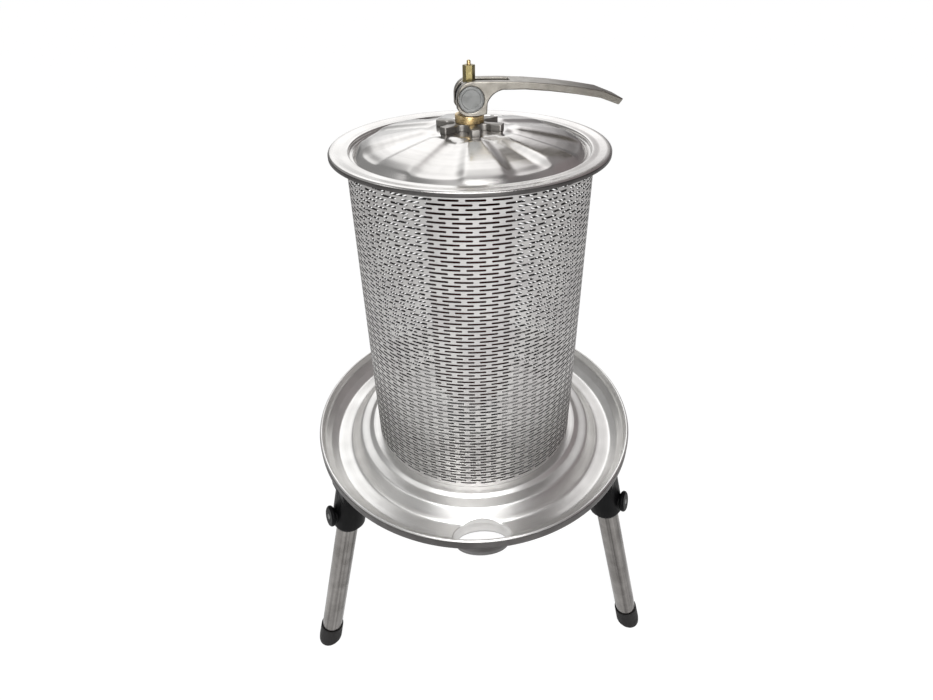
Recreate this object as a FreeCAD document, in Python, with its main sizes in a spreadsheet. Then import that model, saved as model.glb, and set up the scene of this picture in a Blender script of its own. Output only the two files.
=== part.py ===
import FreeCAD, Part
import math
import os
import re

import Sketcher

# Hydraulic fruit press on three legs, in millimetres.
# The origin lies on the press axis at floor level, +Z is up and the tray's spout points to -Y.

sizes = {
    # tray, a deep drawn dish: raised plateau in the middle, channel round it, wall and turned rim
    "tray_rim_height": 379,
    "tray_radius": 250,
    "tray_sheet": 1.2,
    "tray_lip": 6,
    "plateau_radius": 166,
    "plateau_drop": 11,
    "shoulder_drop": 5,
    "channel_drop": 32,
    # shares of the way from the plateau's edge to the rim
    "shoulder_share": 0.24,
    "channel_from": 0.44,
    "channel_to": 0.69,
    "spout_middle": 0.63,
    "spout_share": 0.268,
    # oval spout in the channel's floor
    "spout_half_width": 40,
    "spout_taper": 5,
    "spout_depth": 15,
    "spout_rise": 17,
    # basket, a slotted tube that stands on the plateau
    "basket_radius": 155,
    "basket_height": 450,
    "basket_wall": 1.5,
    "slot_length": 60,
    "slot_height": 8,
    "slot_rows": 12,
    "slots_per_row": 12,
    "plain_band": 12,
    # lid, pressed sheet with radial beads
    "lid_radius": 175,
    "lid_sheet": 1.5,
    "lid_lip": 6,
    "lid_hub_rise": 19,
    "lid_hub_radius": 45,
    "lid_groove_depth": 6,
    "lid_groove_width": 5,
    "lid_clearance": 1.5,
    "lid_bore": 10.5,
    "bead_count": 8,
    "bead_rise": 3,
    "bead_angle": 22.5,
    "bead_inner": 54,
    "bead_outer": 136,
    "bead_turn": -85.5,
    # star, ring, nut and lever that close the lid
    "star_across_flats": 86,
    "star_thickness": 8,
    "star_arms": 6,
    "star_scallop": 9,
    "star_scallop_circle": 28,
    "star_arm_width": 12,
    "star_turn": -82,
    "ring_radius": 18,
    "ring_height": 9.5,
    "closure_bore": 9.6,
    "cam_height": 20,
    "cam_release": 3,
    "barrel_radius": 15,
    "fork_width": 40,
    "fork_slot": 19,
    "fork_slot_end": 48,
    "lever_length": 187,
    "lever_neck": 5,
    "lever_bend": 161,
    "lever_bow": 15.8,
    "lever_thickness": 8.3,
    "lever_turn": 5,
    # column, a steel pipe that carries the rubber membrane
    "pipe_radius": 16.85,
    "pipe_wall": 3.2,
    "pipe_tail": 44.8,
    "flange_radius": 45,
    "flange_thickness": 6,
    "gasket_thickness": 2,
    "column_nut_flats": 50,
    "column_nut_height": 12,
    "stud_radius": 9,
    "stud_stand_out": 1.5,
    "head_shoulder": 20,
    "port_radius": 4,
    "vent_bore": 3,
    # membrane and its clamps
    "membrane_radius": 60,
    "membrane_wall": 4,
    "membrane_collar": 26,
    "membrane_flare": 40,
    "collar_clearance": 0.15,
    "clamp_wall": 2.5,
    "clamp_height": 14,
    # vent valve on the column's end
    "hex_flats": 13,
    "hex_height": 19.5,
    "valve_shank": 4.9,
    "valve_shank_length": 10,
    "pin_radius": 2.5,
    "pin_stand_out": 5.5,
    "pin_depth": 10,
    # base plate and the bolts that hold the sockets
    "base_radius": 150,
    "base_thickness": 4,
    "bolt_circle_inner": 108,
    "bolt_circle_outer": 138,
    "bolt_radius": 4,
    "bolt_head_radius": 8,
    "bolt_head_height": 4,
    "nut_flats": 13,
    "nut_height": 6.5,
    "bolt_stand_out": 3,
    "hole_clearance": 0.3,
    # legs
    "foot_circle": 305,
    "leg_splay": 14.6,
    "leg_radius": 16.5,
    "leg_wall": 2,
    "leg_start": 10,
    "leg_insertion": 68,
    "socket_mouth": 267,
    "socket_wall": 9.2,
    "socket_fit": 0.3,
    "socket_crown": 12,
    "socket_arm_width": 50,
    "socket_arm_depth": 12,
    "cap_wall": 2.3,
    "cap_height": 34,
    "cap_fit": 0.05,
    "clamp_position": 291,
    "boss_radius": 9.5,
    "boss_reach": 1,
    "screw_radius": 4,
    "knob_radius": 15.5,
    "knob_thickness": 7,
    # water fitting and its two ball valves
    "tee_radius": 21,
    "tee_socket": 22,
    "tee_floor": 8,
    "branch_drop": 10,
    "branch_radius": 14,
    "branch_reach": 45,
    "water_bore": 7.5,
    "valve_length": 50,
    "valve_radius": 16,
    "ball_radius": 11,
    "ball_clearance": 0.4,
    "stem_radius": 4,
    "bonnet_radius": 8,
    "bonnet_reach": 22,
    "handle_length": 88,
    "handle_width": 16,
    "handle_thickness": 3,
    "handle_nut_flats": 10,
    "handle_nut_height": 5,
    "outlet_radius": 10.48,
    "outlet_length": 14,
    "claw_radius": 20,
    "claw_collar": 8,
    "claw_flange": 6,
    "claw_hook": 6,
    "seal_radius": 12.5,
    "running_fit": 0.05,
    "seat_gap": 0.3,
}

leg_azimuths = {"left": -150, "right": -30, "rear": 90}

doc = FreeCAD.newDocument("FruitPress")
sheet = doc.addObject("Spreadsheet::Sheet", "Sizes")
for row, (alias, size) in enumerate(sizes.items(), 1):
    sheet.set(f"A{row}", alias.replace("_", " "))
    sheet.set(f"B{row}", str(size))
    sheet.setAlias(f"B{row}", alias)
doc.recompute()

words = re.compile(r"\b(" + "|".join(sizes) + r")\b")


def bound(text):
    # an expression in plain size names, as the document's objects read it from the sheet
    return words.sub(r"Sizes.\1", str(text))


def number(text):
    return float(sheet.evalExpression(bound(text)))


# heights and distances that several pieces share
plateau = "(tray_rim_height - plateau_drop)"
channel = "(tray_rim_height - channel_drop)"
plate_top = f"({plateau} - tray_sheet)"
plate_under = f"({plate_top} - base_thickness)"
arm_under = f"({plate_under} - socket_arm_depth)"
basket_top = f"({plateau} + basket_height)"
lid_rim = f"({basket_top} + lid_sheet * 2)"
hub_top = f"({lid_rim} - lid_sheet + lid_hub_rise)"
star_top = f"({hub_top} + star_thickness)"
ring_top = f"({star_top} + ring_height)"
pivot = f"({ring_top} + cam_height)"
stud_top = f"({pivot} + barrel_radius + stud_stand_out)"
hex_top = f"({stud_top} + hex_height)"
flange_under = f"({plateau} + gasket_thickness)"
flange_top = f"({flange_under} + flange_thickness)"
pipe_top = f"({hub_top} - lid_sheet - head_shoulder - 6)"
dish_reach = "(tray_radius - plateau_radius)"
shoulder = f"(plateau_radius + shoulder_share * {dish_reach})"
channel_inner = f"(plateau_radius + channel_from * {dish_reach})"
channel_outer = f"(plateau_radius + channel_to * {dish_reach})"
spout_position = f"(plateau_radius + spout_middle * {dish_reach})"
spout_reach = f"(spout_share * {dish_reach})"
pipe_end = f"({plate_under} - column_nut_height - pipe_tail)"
branch = f"({pipe_end} - branch_drop)"
valve_middle = "(branch_reach + valve_length / 2)"
valve_end = "(branch_reach + valve_length)"
pipe_bore = "(pipe_radius - pipe_wall)"
socket_bore = "(leg_radius + socket_fit)"
socket_radius = "(leg_radius + socket_wall)"
leg_top = "(socket_mouth + leg_insertion)"


def new_body(label):
    body = doc.addObject("PartDesign::Body", label)
    body.Label = label
    return body


def origin_part(body, role):
    return next(item for item in body.Origin.OriginFeatures if item.Role == role)


def new_sketch(body, role, name, height=None):
    sketch = body.newObject("Sketcher::SketchObject", f"{body.Name}_{name}")
    sketch.AttachmentSupport = [(origin_part(body, role), "")]
    sketch.MapMode = "FlatFace"
    if height is not None:
        sketch.setExpression(".AttachmentOffset.Base.z", bound(height))
    return sketch


def hold(sketch, kind, geometry, vertex, expression):
    # one distance from the sketch's origin, bound to the sheet
    index = sketch.addConstraint(Sketcher.Constraint(kind, -1, 1, geometry, vertex, number(expression)))
    sketch.setExpression(f"Constraints[{index}]", bound(expression))


def outline(sketch, corners):
    # closed chain; a corner is (x, y), or (x, y, radius) where an arc arrives, bulging left if minus
    places = [FreeCAD.Vector(number(corner[0]), number(corner[1]), 0) for corner in corners]
    for index, corner in enumerate(corners):
        start, end = places[index - 1], places[index]
        if len(corner) == 2:
            sketch.addGeometry(Part.LineSegment(start, end))
            continue
        radius = number(corner[2])
        chord = end - start
        side = FreeCAD.Vector(-chord.y, chord.x, 0).normalize() * math.copysign(1, radius)
        depth = math.sqrt(radius ** 2 - (chord.Length / 2) ** 2)
        crown = (start + end) / 2 - side * (abs(radius) - depth)
        ends = (start, end) if radius > 0 else (end, start)
        sketch.addGeometry(Part.Arc(ends[0], crown, ends[1]))
    for index, corner in enumerate(corners):
        after = (index + 1) % len(corners)
        last = vertex_at(sketch, index, places[index])
        first = vertex_at(sketch, after, places[index])
        sketch.addConstraint(Sketcher.Constraint("Coincident", index, last, after, first))
        hold(sketch, "DistanceX", index, last, corner[0])
        hold(sketch, "DistanceY", index, last, corner[1])
        if len(corner) == 3:
            size = f"abs({corner[2]})"
            row = sketch.addConstraint(Sketcher.Constraint("Radius", index, number(size)))
            sketch.setExpression(f"Constraints[{row}]", bound(size))


def vertex_at(sketch, geometry, place):
    # 1 where the edge starts at the place and 2 where it ends there
    edge = sketch.Geometry[geometry]
    near_start = (edge.StartPoint - place).Length < (edge.EndPoint - place).Length
    return 1 if near_start else 2


def circle(sketch, x, y, radius):
    centre = FreeCAD.Vector(number(x), number(y), 0)
    index = sketch.addGeometry(Part.Circle(centre, FreeCAD.Vector(0, 0, 1), number(radius)))
    row = sketch.addConstraint(Sketcher.Constraint("Radius", index, number(radius)))
    sketch.setExpression(f"Constraints[{row}]", bound(radius))
    hold(sketch, "DistanceX", index, 3, x)
    hold(sketch, "DistanceY", index, 3, y)


def ellipse(sketch, y, half_width, half_reach):
    # an ellipse on the sketch's vertical axis, wider than it is deep
    centre = FreeCAD.Vector(0, number(y), 0)
    curve = Part.Ellipse(centre, number(half_width), number(half_reach))
    index = sketch.addGeometry(curve)
    sketch.exposeInternalGeometry(index)
    sketch.addConstraint(Sketcher.Constraint("Horizontal", index + 1))
    for axis, half in ((1, half_width), (2, half_reach)):
        size = f"2 * ({half})"
        row = sketch.addConstraint(Sketcher.Constraint("Distance", index + axis, number(size)))
        sketch.setExpression(f"Constraints[{row}]", bound(size))
    hold(sketch, "DistanceX", index, 3, 0)
    hold(sketch, "DistanceY", index, 3, y)


def hexagon(sketch, flats, x="0"):
    # six corners round a centre on the sketch's horizontal axis
    reach = f"({flats}) / sqrt(3)"
    outline(sketch, [
        (f"{x} + {reach} * cos({60 * step})", f"{reach} * sin({60 * step})") for step in range(6)
    ])


def sheet_metal(corners, wall):
    # the drawn surface's corners, then the same corners set back by the wall, mitred
    flat = [FreeCAD.Vector(number(x), number(y), 0) for x, y in corners]
    back = []
    for index, (x, y) in enumerate(corners):
        ahead = flat[min(index + 1, len(flat) - 1)] - flat[min(index, len(flat) - 2)]
        behind = flat[max(index, 1)] - flat[max(index - 1, 0)]
        right = [FreeCAD.Vector(way.y, -way.x, 0).normalize() for way in (behind, ahead)]
        mitre = (right[0] + right[1]) / (1 + right[0].dot(right[1]))
        back.append((f"{x} + {mitre.x:.5f} * {wall}", f"{y} + {mitre.y:.5f} * {wall}"))
    return corners + back[::-1]


def axis_line(sketch, start, end):
    # a construction line that a turned shape spins about
    places = [FreeCAD.Vector(number(x), number(y), 0) for x, y in (start, end)]
    index = sketch.addGeometry(Part.LineSegment(*places), True)
    for vertex, (x, y) in ((1, start), (2, end)):
        hold(sketch, "DistanceX", index, vertex, x)
        hold(sketch, "DistanceY", index, vertex, y)


def turned(body, name, corners, axis=None, cut=False, angle=None):
    # a closed outline in the XZ plane, spun about Z or about the given line
    sketch = new_sketch(body, "XZ_Plane", f"{name}_sketch")
    outline(sketch, corners)
    if axis:
        axis_line(sketch, *axis)
    kind = "PartDesign::Groove" if cut else "PartDesign::Revolution"
    feature = body.newObject(kind, f"{body.Name}_{name}")
    feature.Profile = sketch
    feature.ReferenceAxis = (sketch, ["Axis0" if axis else "V_Axis"])
    if angle:
        feature.Midplane = True
        feature.setExpression("Angle", bound(angle))
    else:
        feature.Angle = 360
    return feature


def padded(body, sketch, length, midplane=False):
    feature = body.newObject("PartDesign::Pad", f"{sketch.Name}_pad")
    feature.Profile = sketch
    feature.setExpression("Length", bound(length))
    feature.Midplane = midplane
    return feature


def pocketed(body, sketch, length, midplane=False):
    feature = body.newObject("PartDesign::Pocket", f"{sketch.Name}_pocket")
    feature.Profile = sketch
    feature.setExpression("Length", bound(length))
    feature.Midplane = midplane
    return feature


def repeated(body, feature, count, role="Z_Axis"):
    pattern = body.newObject("PartDesign::PolarPattern", f"{feature.Name}_round")
    pattern.Originals = [feature]
    pattern.Axis = (origin_part(body, role), [""])
    pattern.Angle = 360
    pattern.setExpression("Occurrences", bound(count))
    body.Tip = pattern
    return pattern


def put(body, x=0, y=0, z=0, turn=0):
    place = FreeCAD.Vector(number(x), number(y), number(z))
    body.Placement = FreeCAD.Placement(place, FreeCAD.Rotation(FreeCAD.Vector(0, 0, 1), number(turn)))


def box_outline(x_low, x_high, y_low, y_high):
    return [(x_low, y_low), (x_high, y_low), (x_high, y_high), (x_low, y_high)]


def ring(label, inner, outer, low, high):
    body = new_body(label)
    turned(body, "ring", box_outline(inner, outer, low, high))
    return body


# Tray and base plate

def bolt_holes(body, name, height, depth):
    # two bolts to each leg socket, on the leg's own radius
    sketch = new_sketch(body, "XY_Plane", name, height)
    for reach in ("bolt_circle_inner", "bolt_circle_outer"):
        circle(sketch, f"{reach} * cos(30)", f"{reach} * -0.5", "bolt_radius + hole_clearance")
    repeated(body, pocketed(body, sketch, depth), 3)


def make_tray():
    body = new_body("tray")
    rim = "tray_rim_height"
    wall = f"(tray_radius - tray_lip - {channel_outer})"
    drawn = [
        ("pipe_radius + hole_clearance", plateau),
        ("plateau_radius", plateau),
        (f"0.7 * plateau_radius + 0.3 * {shoulder}", f"{plateau} - 0.8 * shoulder_drop"),
        (shoulder, f"{plateau} - shoulder_drop"),
        (f"{channel_inner} - 3", f"{channel} + 3"),
        (channel_inner, channel),
        (channel_outer, channel),
        (f"{channel_outer} + 0.52 * {wall}", f"{channel} + 0.25 * channel_drop"),
        (f"{channel_outer} + 0.975 * {wall}", f"{channel} + 0.6 * channel_drop"),
        ("tray_radius - 0.75 * tray_lip", f"{rim} - 0.8"),
        ("tray_radius - tray_lip / 3", rim),
        ("tray_radius", f"{rim} - tray_lip / 3"),
        ("tray_radius", f"{rim} - tray_lip"),
    ]
    turned(body, "dish", sheet_metal(drawn, "tray_sheet"))
    spout_loft(body, "AdditiveLoft", "tray_sheet", "0")
    clear = [*drawn[3:9], (drawn[8][0], f"{rim} - 1"), (drawn[3][0], f"{rim} - 1")]
    turned(body, "inside", clear, cut=True)
    spout_loft(body, "SubtractiveLoft", "0", "3")
    bolt_holes(body, "bolts", f"{plateau} + 1", "tray_sheet + 2")


def spout_loft(body, kind, wall, beyond):
    # straight where it meets the dish, tapering below the channel; beyond carries a cut clear of it
    loops = []
    stations = (
        (f"spout_rise + {beyond}", "0"),
        ("0", "0"),
        (f"-spout_depth - {beyond}", f"spout_taper * (1 + {beyond} / spout_depth)"),
    )
    for step, (level, taper) in enumerate(stations):
        loop = new_sketch(body, "XY_Plane", f"{kind}_{step}", f"{channel} + {level}")
        ellipse(
            loop,
            f"-{spout_position}",
            f"spout_half_width - {taper} + {wall}",
            f"{spout_reach} - {taper} + {wall}",
        )
        loops.append(loop)
    loft = body.newObject(f"PartDesign::{kind}", f"tray_{kind}")
    loft.Profile = loops[0]
    loft.Sections = loops[1:]
    loft.Ruled = True


def make_base_plate():
    body = ring("base_plate", "pipe_radius + hole_clearance", "base_radius", plate_under, plate_top)
    bolt_holes(body, "bolts", f"{plate_top} + 1", "base_thickness + 2")


def make_bolts():
    # domed heads inside the basket, hexagon nuts under the sockets' arms
    bolts = new_body("socket_bolts")
    nuts = new_body("socket_nuts")
    for body in (bolts, nuts):
        body.AllowCompound = True
    end = f"{arm_under} - nut_height - bolt_stand_out"
    for name, reach in (("inner", "bolt_circle_inner"), ("outer", "bolt_circle_outer")):
        middle = ((reach, end), (reach, plateau))
        shank = [
            (reach, end),
            (f"{reach} + bolt_radius", end),
            (f"{reach} + bolt_radius", plateau),
            (f"{reach} + bolt_head_radius", plateau),
            (f"{reach} + bolt_head_radius", f"{plateau} + 1"),
            (f"{reach} + bolt_head_radius / 2", f"{plateau} + 0.9 * bolt_head_height"),
            (reach, f"{plateau} + bolt_head_height"),
        ]
        turned(bolts, name, shank, middle)
        sketch = new_sketch(nuts, "XY_Plane", name, f"{arm_under} - nut_height")
        hexagon(sketch, "nut_flats", reach)
        circle(sketch, reach, "0", "bolt_radius + running_fit")
        padded(nuts, sketch, "nut_height")
    for body in (bolts, nuts):
        solid_kinds = ("PartDesign::Revolution", "PartDesign::Pad")
        features = [item for item in body.Group if item.TypeId in solid_kinds]
        pattern = body.newObject("PartDesign::PolarPattern", f"{body.Name}_round")
        pattern.Originals = features
        pattern.Axis = (origin_part(body, "Z_Axis"), [""])
        pattern.Angle = 360
        pattern.Occurrences = 3
        body.Tip = pattern
        put(body, turn=-30)


# Legs, drawn in the plane of one leg with X outwards, then turned to their places

def on_leg(up, out="0"):
    # up along the leg's axis from the floor, and out from that axis
    return (
        f"foot_circle - ({up}) * sin(leg_splay) + ({out}) * cos(leg_splay)",
        f"({up}) * cos(leg_splay) + ({out}) * sin(leg_splay)",
    )


leg_axis = (on_leg("0"), on_leg(leg_top))
screw_axis = (on_leg("clamp_position", "0"), on_leg("clamp_position", "100"))


def on_screw(out, side):
    return on_leg(f"clamp_position + ({side})", out)


def make_socket(label):
    body = new_body(label)
    under_channel = f"({channel} - tray_sheet - seat_gap)"
    arm = new_sketch(body, "XZ_Plane", "arm")
    outline(arm, [
        ("bolt_circle_inner - 14", arm_under),
        ("base_radius", arm_under),
        ("plateau_radius + 10", f"{under_channel} - 20"),
        (f"{channel_outer} + 20", f"{under_channel} - 20"),
        (f"{channel_outer} + 20", f"{under_channel} + 11"),
        (f"{channel_outer} + 13", f"{under_channel} + 7"),
        (f"{channel_outer} + 1", under_channel),
        (f"{channel_inner} - 5", under_channel),
        (f"{shoulder} - 2", f"{plate_top} - shoulder_drop - 1.5"),
        ("plateau_radius + 4", f"{plate_top} - shoulder_drop - 1"),
        ("base_radius + 4", plate_under),
        ("bolt_circle_inner - 14", plate_under),
    ])
    padded(body, arm, "socket_arm_width", midplane=True)
    crown = f"{leg_top} + socket_crown"
    turned(body, "barrel", [
        on_leg("socket_mouth"),
        on_leg("socket_mouth", f"{socket_radius} - 5"),
        on_leg("socket_mouth + 8", socket_radius),
        on_leg(crown + " - 8", socket_radius),
        on_leg(crown, f"{socket_radius} - 8"),
        on_leg(crown),
    ], leg_axis)
    boss_end = f"{socket_radius} + boss_reach"
    turned(body, "boss", [
        on_screw("leg_radius + socket_wall / 2", "0"),
        on_screw("leg_radius + socket_wall / 2", "boss_radius + 2"),
        on_screw(boss_end, "boss_radius"),
        on_screw(boss_end, "0"),
    ], screw_axis)
    turned(body, "bore", [
        on_leg("socket_mouth - 1"),
        on_leg("socket_mouth - 1", socket_bore),
        on_leg(leg_top, socket_bore),
        on_leg(leg_top),
    ], leg_axis, cut=True)
    turned(body, "screw_hole", [
        on_screw("leg_radius - 2", "0"),
        on_screw("leg_radius - 2", "screw_radius + running_fit"),
        on_screw(f"{boss_end} + 1", "screw_radius + running_fit"),
        on_screw(f"{boss_end} + 1", "0"),
    ], screw_axis, cut=True)
    holes = new_sketch(body, "XY_Plane", "holes", f"{plate_under} + 1")
    for reach in ("bolt_circle_inner", "bolt_circle_outer"):
        circle(holes, reach, "0", "bolt_radius + hole_clearance")
    pocketed(body, holes, "socket_arm_depth + 2")
    return body


def make_leg(label):
    body = new_body(label)
    turned(body, "tube", [
        on_leg("leg_start", "leg_radius - leg_wall"),
        on_leg("leg_start", "leg_radius"),
        on_leg(leg_top, "leg_radius"),
        on_leg(leg_top, "leg_radius - leg_wall"),
    ], leg_axis)
    return body


def make_foot(label):
    # a rubber cap over the tube's end, its sole cut level with the floor
    body = new_body(label)
    bore = "leg_radius + cap_fit"
    outer = f"({bore} + cap_wall)"
    turned(body, "cap", [
        on_leg("-8"),
        on_leg("-8", f"{outer} - 4"),
        on_leg("-2", outer),
        on_leg("leg_start + cap_height - 12", outer),
        on_leg("leg_start + cap_height - 12", bore),
        on_leg("leg_start", bore),
        on_leg("leg_start"),
    ], leg_axis)
    below = new_sketch(body, "XY_Plane", "floor", "0")
    outline(below, box_outline("foot_circle - 60", "foot_circle + 60", "-60", "60"))
    pocketed(body, below, "60")
    return body


def make_screw(label):
    body = new_body(label)
    turned(body, "shank", [
        on_screw("leg_radius + seat_gap", "0"),
        on_screw("leg_radius + seat_gap", "screw_radius"),
        on_screw(f"{socket_radius} + boss_reach + knob_thickness + 0.5", "screw_radius"),
        on_screw(f"{socket_radius} + boss_reach + knob_thickness + 0.5", "0"),
    ], screw_axis)
    return body


def make_knob(label):
    body = new_body(label)
    near = f"{socket_radius} + boss_reach + seat_gap"
    turned(body, "knob", [
        on_screw(near, "screw_radius + running_fit"),
        on_screw(near, "knob_radius - 2"),
        on_screw(f"{near} + 2", "knob_radius"),
        on_screw(f"{near} + knob_thickness - 2", "knob_radius"),
        on_screw(f"{near} + knob_thickness", "knob_radius - 2"),
        on_screw(f"{near} + knob_thickness", "screw_radius + running_fit"),
    ], screw_axis)
    return body


def make_legs():
    makers = {
        "leg_socket": make_socket,
        "leg_tube": make_leg,
        "rubber_foot": make_foot,
        "clamp_screw": make_screw,
        "clamp_knob": make_knob,
    }
    for side, azimuth in leg_azimuths.items():
        for piece, maker in makers.items():
            put(maker(f"{piece}_{side}"), turn=azimuth)


# Column, its fastening and the membrane

def make_column():
    body = new_body("column_pipe")
    turned(body, "pipe", [
        (pipe_bore, pipe_end),
        ("pipe_radius", pipe_end),
        ("pipe_radius", flange_under),
        ("flange_radius", flange_under),
        ("flange_radius", flange_top),
        ("pipe_radius", flange_top),
        ("pipe_radius", pipe_top),
        (pipe_bore, pipe_top),
    ])
    port = new_sketch(body, "XZ_Plane", "port")
    circle(port, "0", f"{flange_top} + membrane_collar + 12", "port_radius")
    pocketed(body, port, "pipe_radius * 2 + 2", midplane=True)

    head = new_body("column_head")
    cone = f"{pipe_top} + 6"
    turned(head, "head", [
        ("vent_bore", f"{pipe_top} - 10"),
        (f"{pipe_bore} - running_fit", f"{pipe_top} - 10"),
        (f"{pipe_bore} - running_fit", pipe_top),
        ("pipe_radius", pipe_top),
        ("pipe_radius", cone),
        ("stud_radius", f"{cone} + pipe_radius - stud_radius"),
        ("stud_radius", stud_top),
        ("valve_shank + running_fit", stud_top),
        ("valve_shank + running_fit", f"{stud_top} - valve_shank_length"),
        ("vent_bore", f"{stud_top} - valve_shank_length"),
    ])

    ring("column_gasket", "pipe_radius + hole_clearance", "flange_radius", plateau, flange_under)

    nut = new_body("column_nut")
    sketch = new_sketch(nut, "XY_Plane", "flats", f"{plate_under} - column_nut_height")
    hexagon(sketch, "column_nut_flats")
    circle(sketch, "0", "0", "pipe_radius + running_fit")
    padded(nut, sketch, "column_nut_height")


def make_membrane():
    body = new_body("membrane")
    neck = "pipe_radius + collar_clearance"
    low = f"({flange_top} + 2)"
    high = f"({pipe_top} - 4)"
    turned(body, "bag", [
        (neck, low),
        (f"{neck} + membrane_wall", low),
        (f"{neck} + membrane_wall", f"{low} + membrane_collar"),
        ("membrane_radius", f"{low} + membrane_collar + membrane_flare"),
        ("membrane_radius", f"{high} - membrane_collar - membrane_flare"),
        (f"{neck} + membrane_wall", f"{high} - membrane_collar"),
        (f"{neck} + membrane_wall", high),
        (neck, high),
        (neck, f"{high} - membrane_collar - membrane_wall"),
        ("membrane_radius - membrane_wall", f"{high} - membrane_collar - membrane_flare - 2"),
        ("membrane_radius - membrane_wall", f"{low} + membrane_collar + membrane_flare + 2"),
        (neck, f"{low} + membrane_collar + membrane_wall"),
    ])
    wall = f"({neck} + membrane_wall + seat_gap / 3)"
    middle = "(membrane_collar - clamp_height) / 2"
    levels = {"lower_clamp": f"{low} + {middle}", "upper_clamp": f"{high} - membrane_collar + {middle}"}
    for label, level in levels.items():
        clamp = ring(label, wall, f"{wall} + clamp_wall", level, f"{level} + clamp_height")
        screw = new_sketch(clamp, "XY_Plane", "screw", f"{level} + 2")
        outline(screw, box_outline(f"{wall} + clamp_wall / 2", f"{wall} + clamp_wall + 7", "-9", "9"))
        padded(clamp, screw, "clamp_height - 4")


# Basket and lid

def slot_rows(body, name, first_row, rows, turn):
    # every second row of slots, cut through one side of the wall and carried up and round
    pitch = "((basket_height - 2 * plain_band - slot_height) / (slot_rows - 1))"
    sketch = new_sketch(body, "XZ_Plane", f"slot_{name}")
    if turn:
        upright = FreeCAD.Rotation(FreeCAD.Vector(0, 1, 0), number(turn))
        sketch.AttachmentOffset = FreeCAD.Placement(FreeCAD.Vector(), upright)
        sketch.setExpression(".AttachmentOffset.Rotation.Angle", bound(turn))
    low = f"{plateau} + plain_band + {first_row} * {pitch}"
    outline(sketch, box_outline("-slot_length / 2", "slot_length / 2", low, f"{low} + slot_height"))
    slot = pocketed(body, sketch, "basket_radius + 1")
    pattern = body.newObject("PartDesign::MultiTransform", f"{slot.Name}_field")
    upward = doc.addObject("PartDesign::LinearPattern", f"{slot.Name}_up")
    upward.Direction = (origin_part(body, "Z_Axis"), [""])
    upward.setExpression("Length", bound(f"2 * {pitch} * ({rows} - 1)"))
    upward.setExpression("Occurrences", bound(rows))
    around = doc.addObject("PartDesign::PolarPattern", f"{slot.Name}_round")
    around.Axis = (origin_part(body, "Z_Axis"), [""])
    around.Angle = 360
    around.setExpression("Occurrences", bound("slots_per_row"))
    pattern.Originals = [slot]
    pattern.Transformations = [upward, around]
    body.Tip = pattern


def make_basket():
    body = ring("basket", "basket_radius - basket_wall", "basket_radius", plateau, basket_top)
    slot_rows(body, "even", "0", "ceil(slot_rows / 2)", None)
    slot_rows(body, "odd", "1", "floor(slot_rows / 2)", "180 / slots_per_row")


def make_lid():
    body = new_body("lid")
    wall = "basket_radius - basket_wall - lid_clearance - lid_sheet"
    seat = f"{basket_top} + lid_sheet"
    drawn = [
        ("lid_bore", hub_top),
        ("lid_hub_radius", hub_top),
        ("lid_hub_radius + 0.35 * (bead_outer - lid_hub_radius)", f"{hub_top} - 0.25 * lid_hub_rise"),
        ("lid_hub_radius + 0.7 * (bead_outer - lid_hub_radius)", f"{hub_top} - 0.55 * lid_hub_rise"),
        ("bead_outer", f"{hub_top} - 0.85 * lid_hub_rise"),
        (f"{wall} - lid_groove_width - 5", f"{seat} - 1"),
        (f"{wall} - lid_groove_width", f"{seat} - lid_groove_depth"),
        (f"{wall} - 1", f"{seat} - lid_groove_depth"),
        (wall, f"{seat} - lid_groove_depth + 1"),
        (wall, seat),
        ("basket_radius + 5", seat),
        ("lid_radius - lid_lip", lid_rim),
        ("lid_radius - lid_lip / 3", lid_rim),
        ("lid_radius", f"{lid_rim} - lid_lip / 3"),
        ("lid_radius", f"{lid_rim} - lid_lip"),
    ]
    turned(body, "pressing", sheet_metal(drawn, "lid_sheet"))
    middle, high = drawn[2:4]
    crest = [
        ("bead_inner", f"{hub_top} - 0.1 * lid_hub_rise - lid_sheet / 2"),
        ("bead_outer", f"{hub_top} - 0.85 * lid_hub_rise - lid_sheet / 2"),
        ("bead_outer - 8", f"{high[1]} + bead_rise - 0.1 * lid_hub_rise"),
        (middle[0], f"{middle[1]} + bead_rise"),
        ("bead_inner + 8", f"{hub_top} - 0.15 * lid_hub_rise + bead_rise"),
    ]
    bead = turned(body, "bead", crest, angle="bead_angle")
    repeated(body, bead, "bead_count")
    put(body, turn="bead_turn")
    grommet_top = f"{hub_top} - lid_sheet"
    ring("lid_grommet", "stud_radius + 0.4", "stud_radius + 7", f"{grommet_top} - 4", grommet_top)


# Closure on top of the lid

def make_star():
    body = new_body("pressure_star")
    plate = new_sketch(body, "XY_Plane", "plate", hub_top)
    hexagon(plate, "star_across_flats")
    circle(plate, "0", "0", "closure_bore")
    padded(body, plate, "star_thickness")
    # a corner of the hexagon, opened from a round throat to the flat tips of the arms beside it
    scallop = new_sketch(body, "XY_Plane", "scallop", f"{star_top} + 1")
    reach = "star_across_flats / sqrt(3)"
    mouth = f"(({reach} - star_arm_width) / 2 * cos(30))"
    tip = f"{reach} - {mouth} * tan(30)"
    outline(scallop, [
        ("star_scallop_circle", "star_scallop"),
        ("star_scallop_circle", "-star_scallop", "star_scallop + 0.001"),
        (tip, f"-{mouth}"),
        (f"{reach} + star_scallop", f"-{mouth}"),
        (f"{reach} + star_scallop", mouth),
        (tip, mouth),
    ])
    repeated(body, pocketed(body, scallop, "star_thickness + 2"), "star_arms")
    put(body, turn="star_turn + 30")


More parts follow.
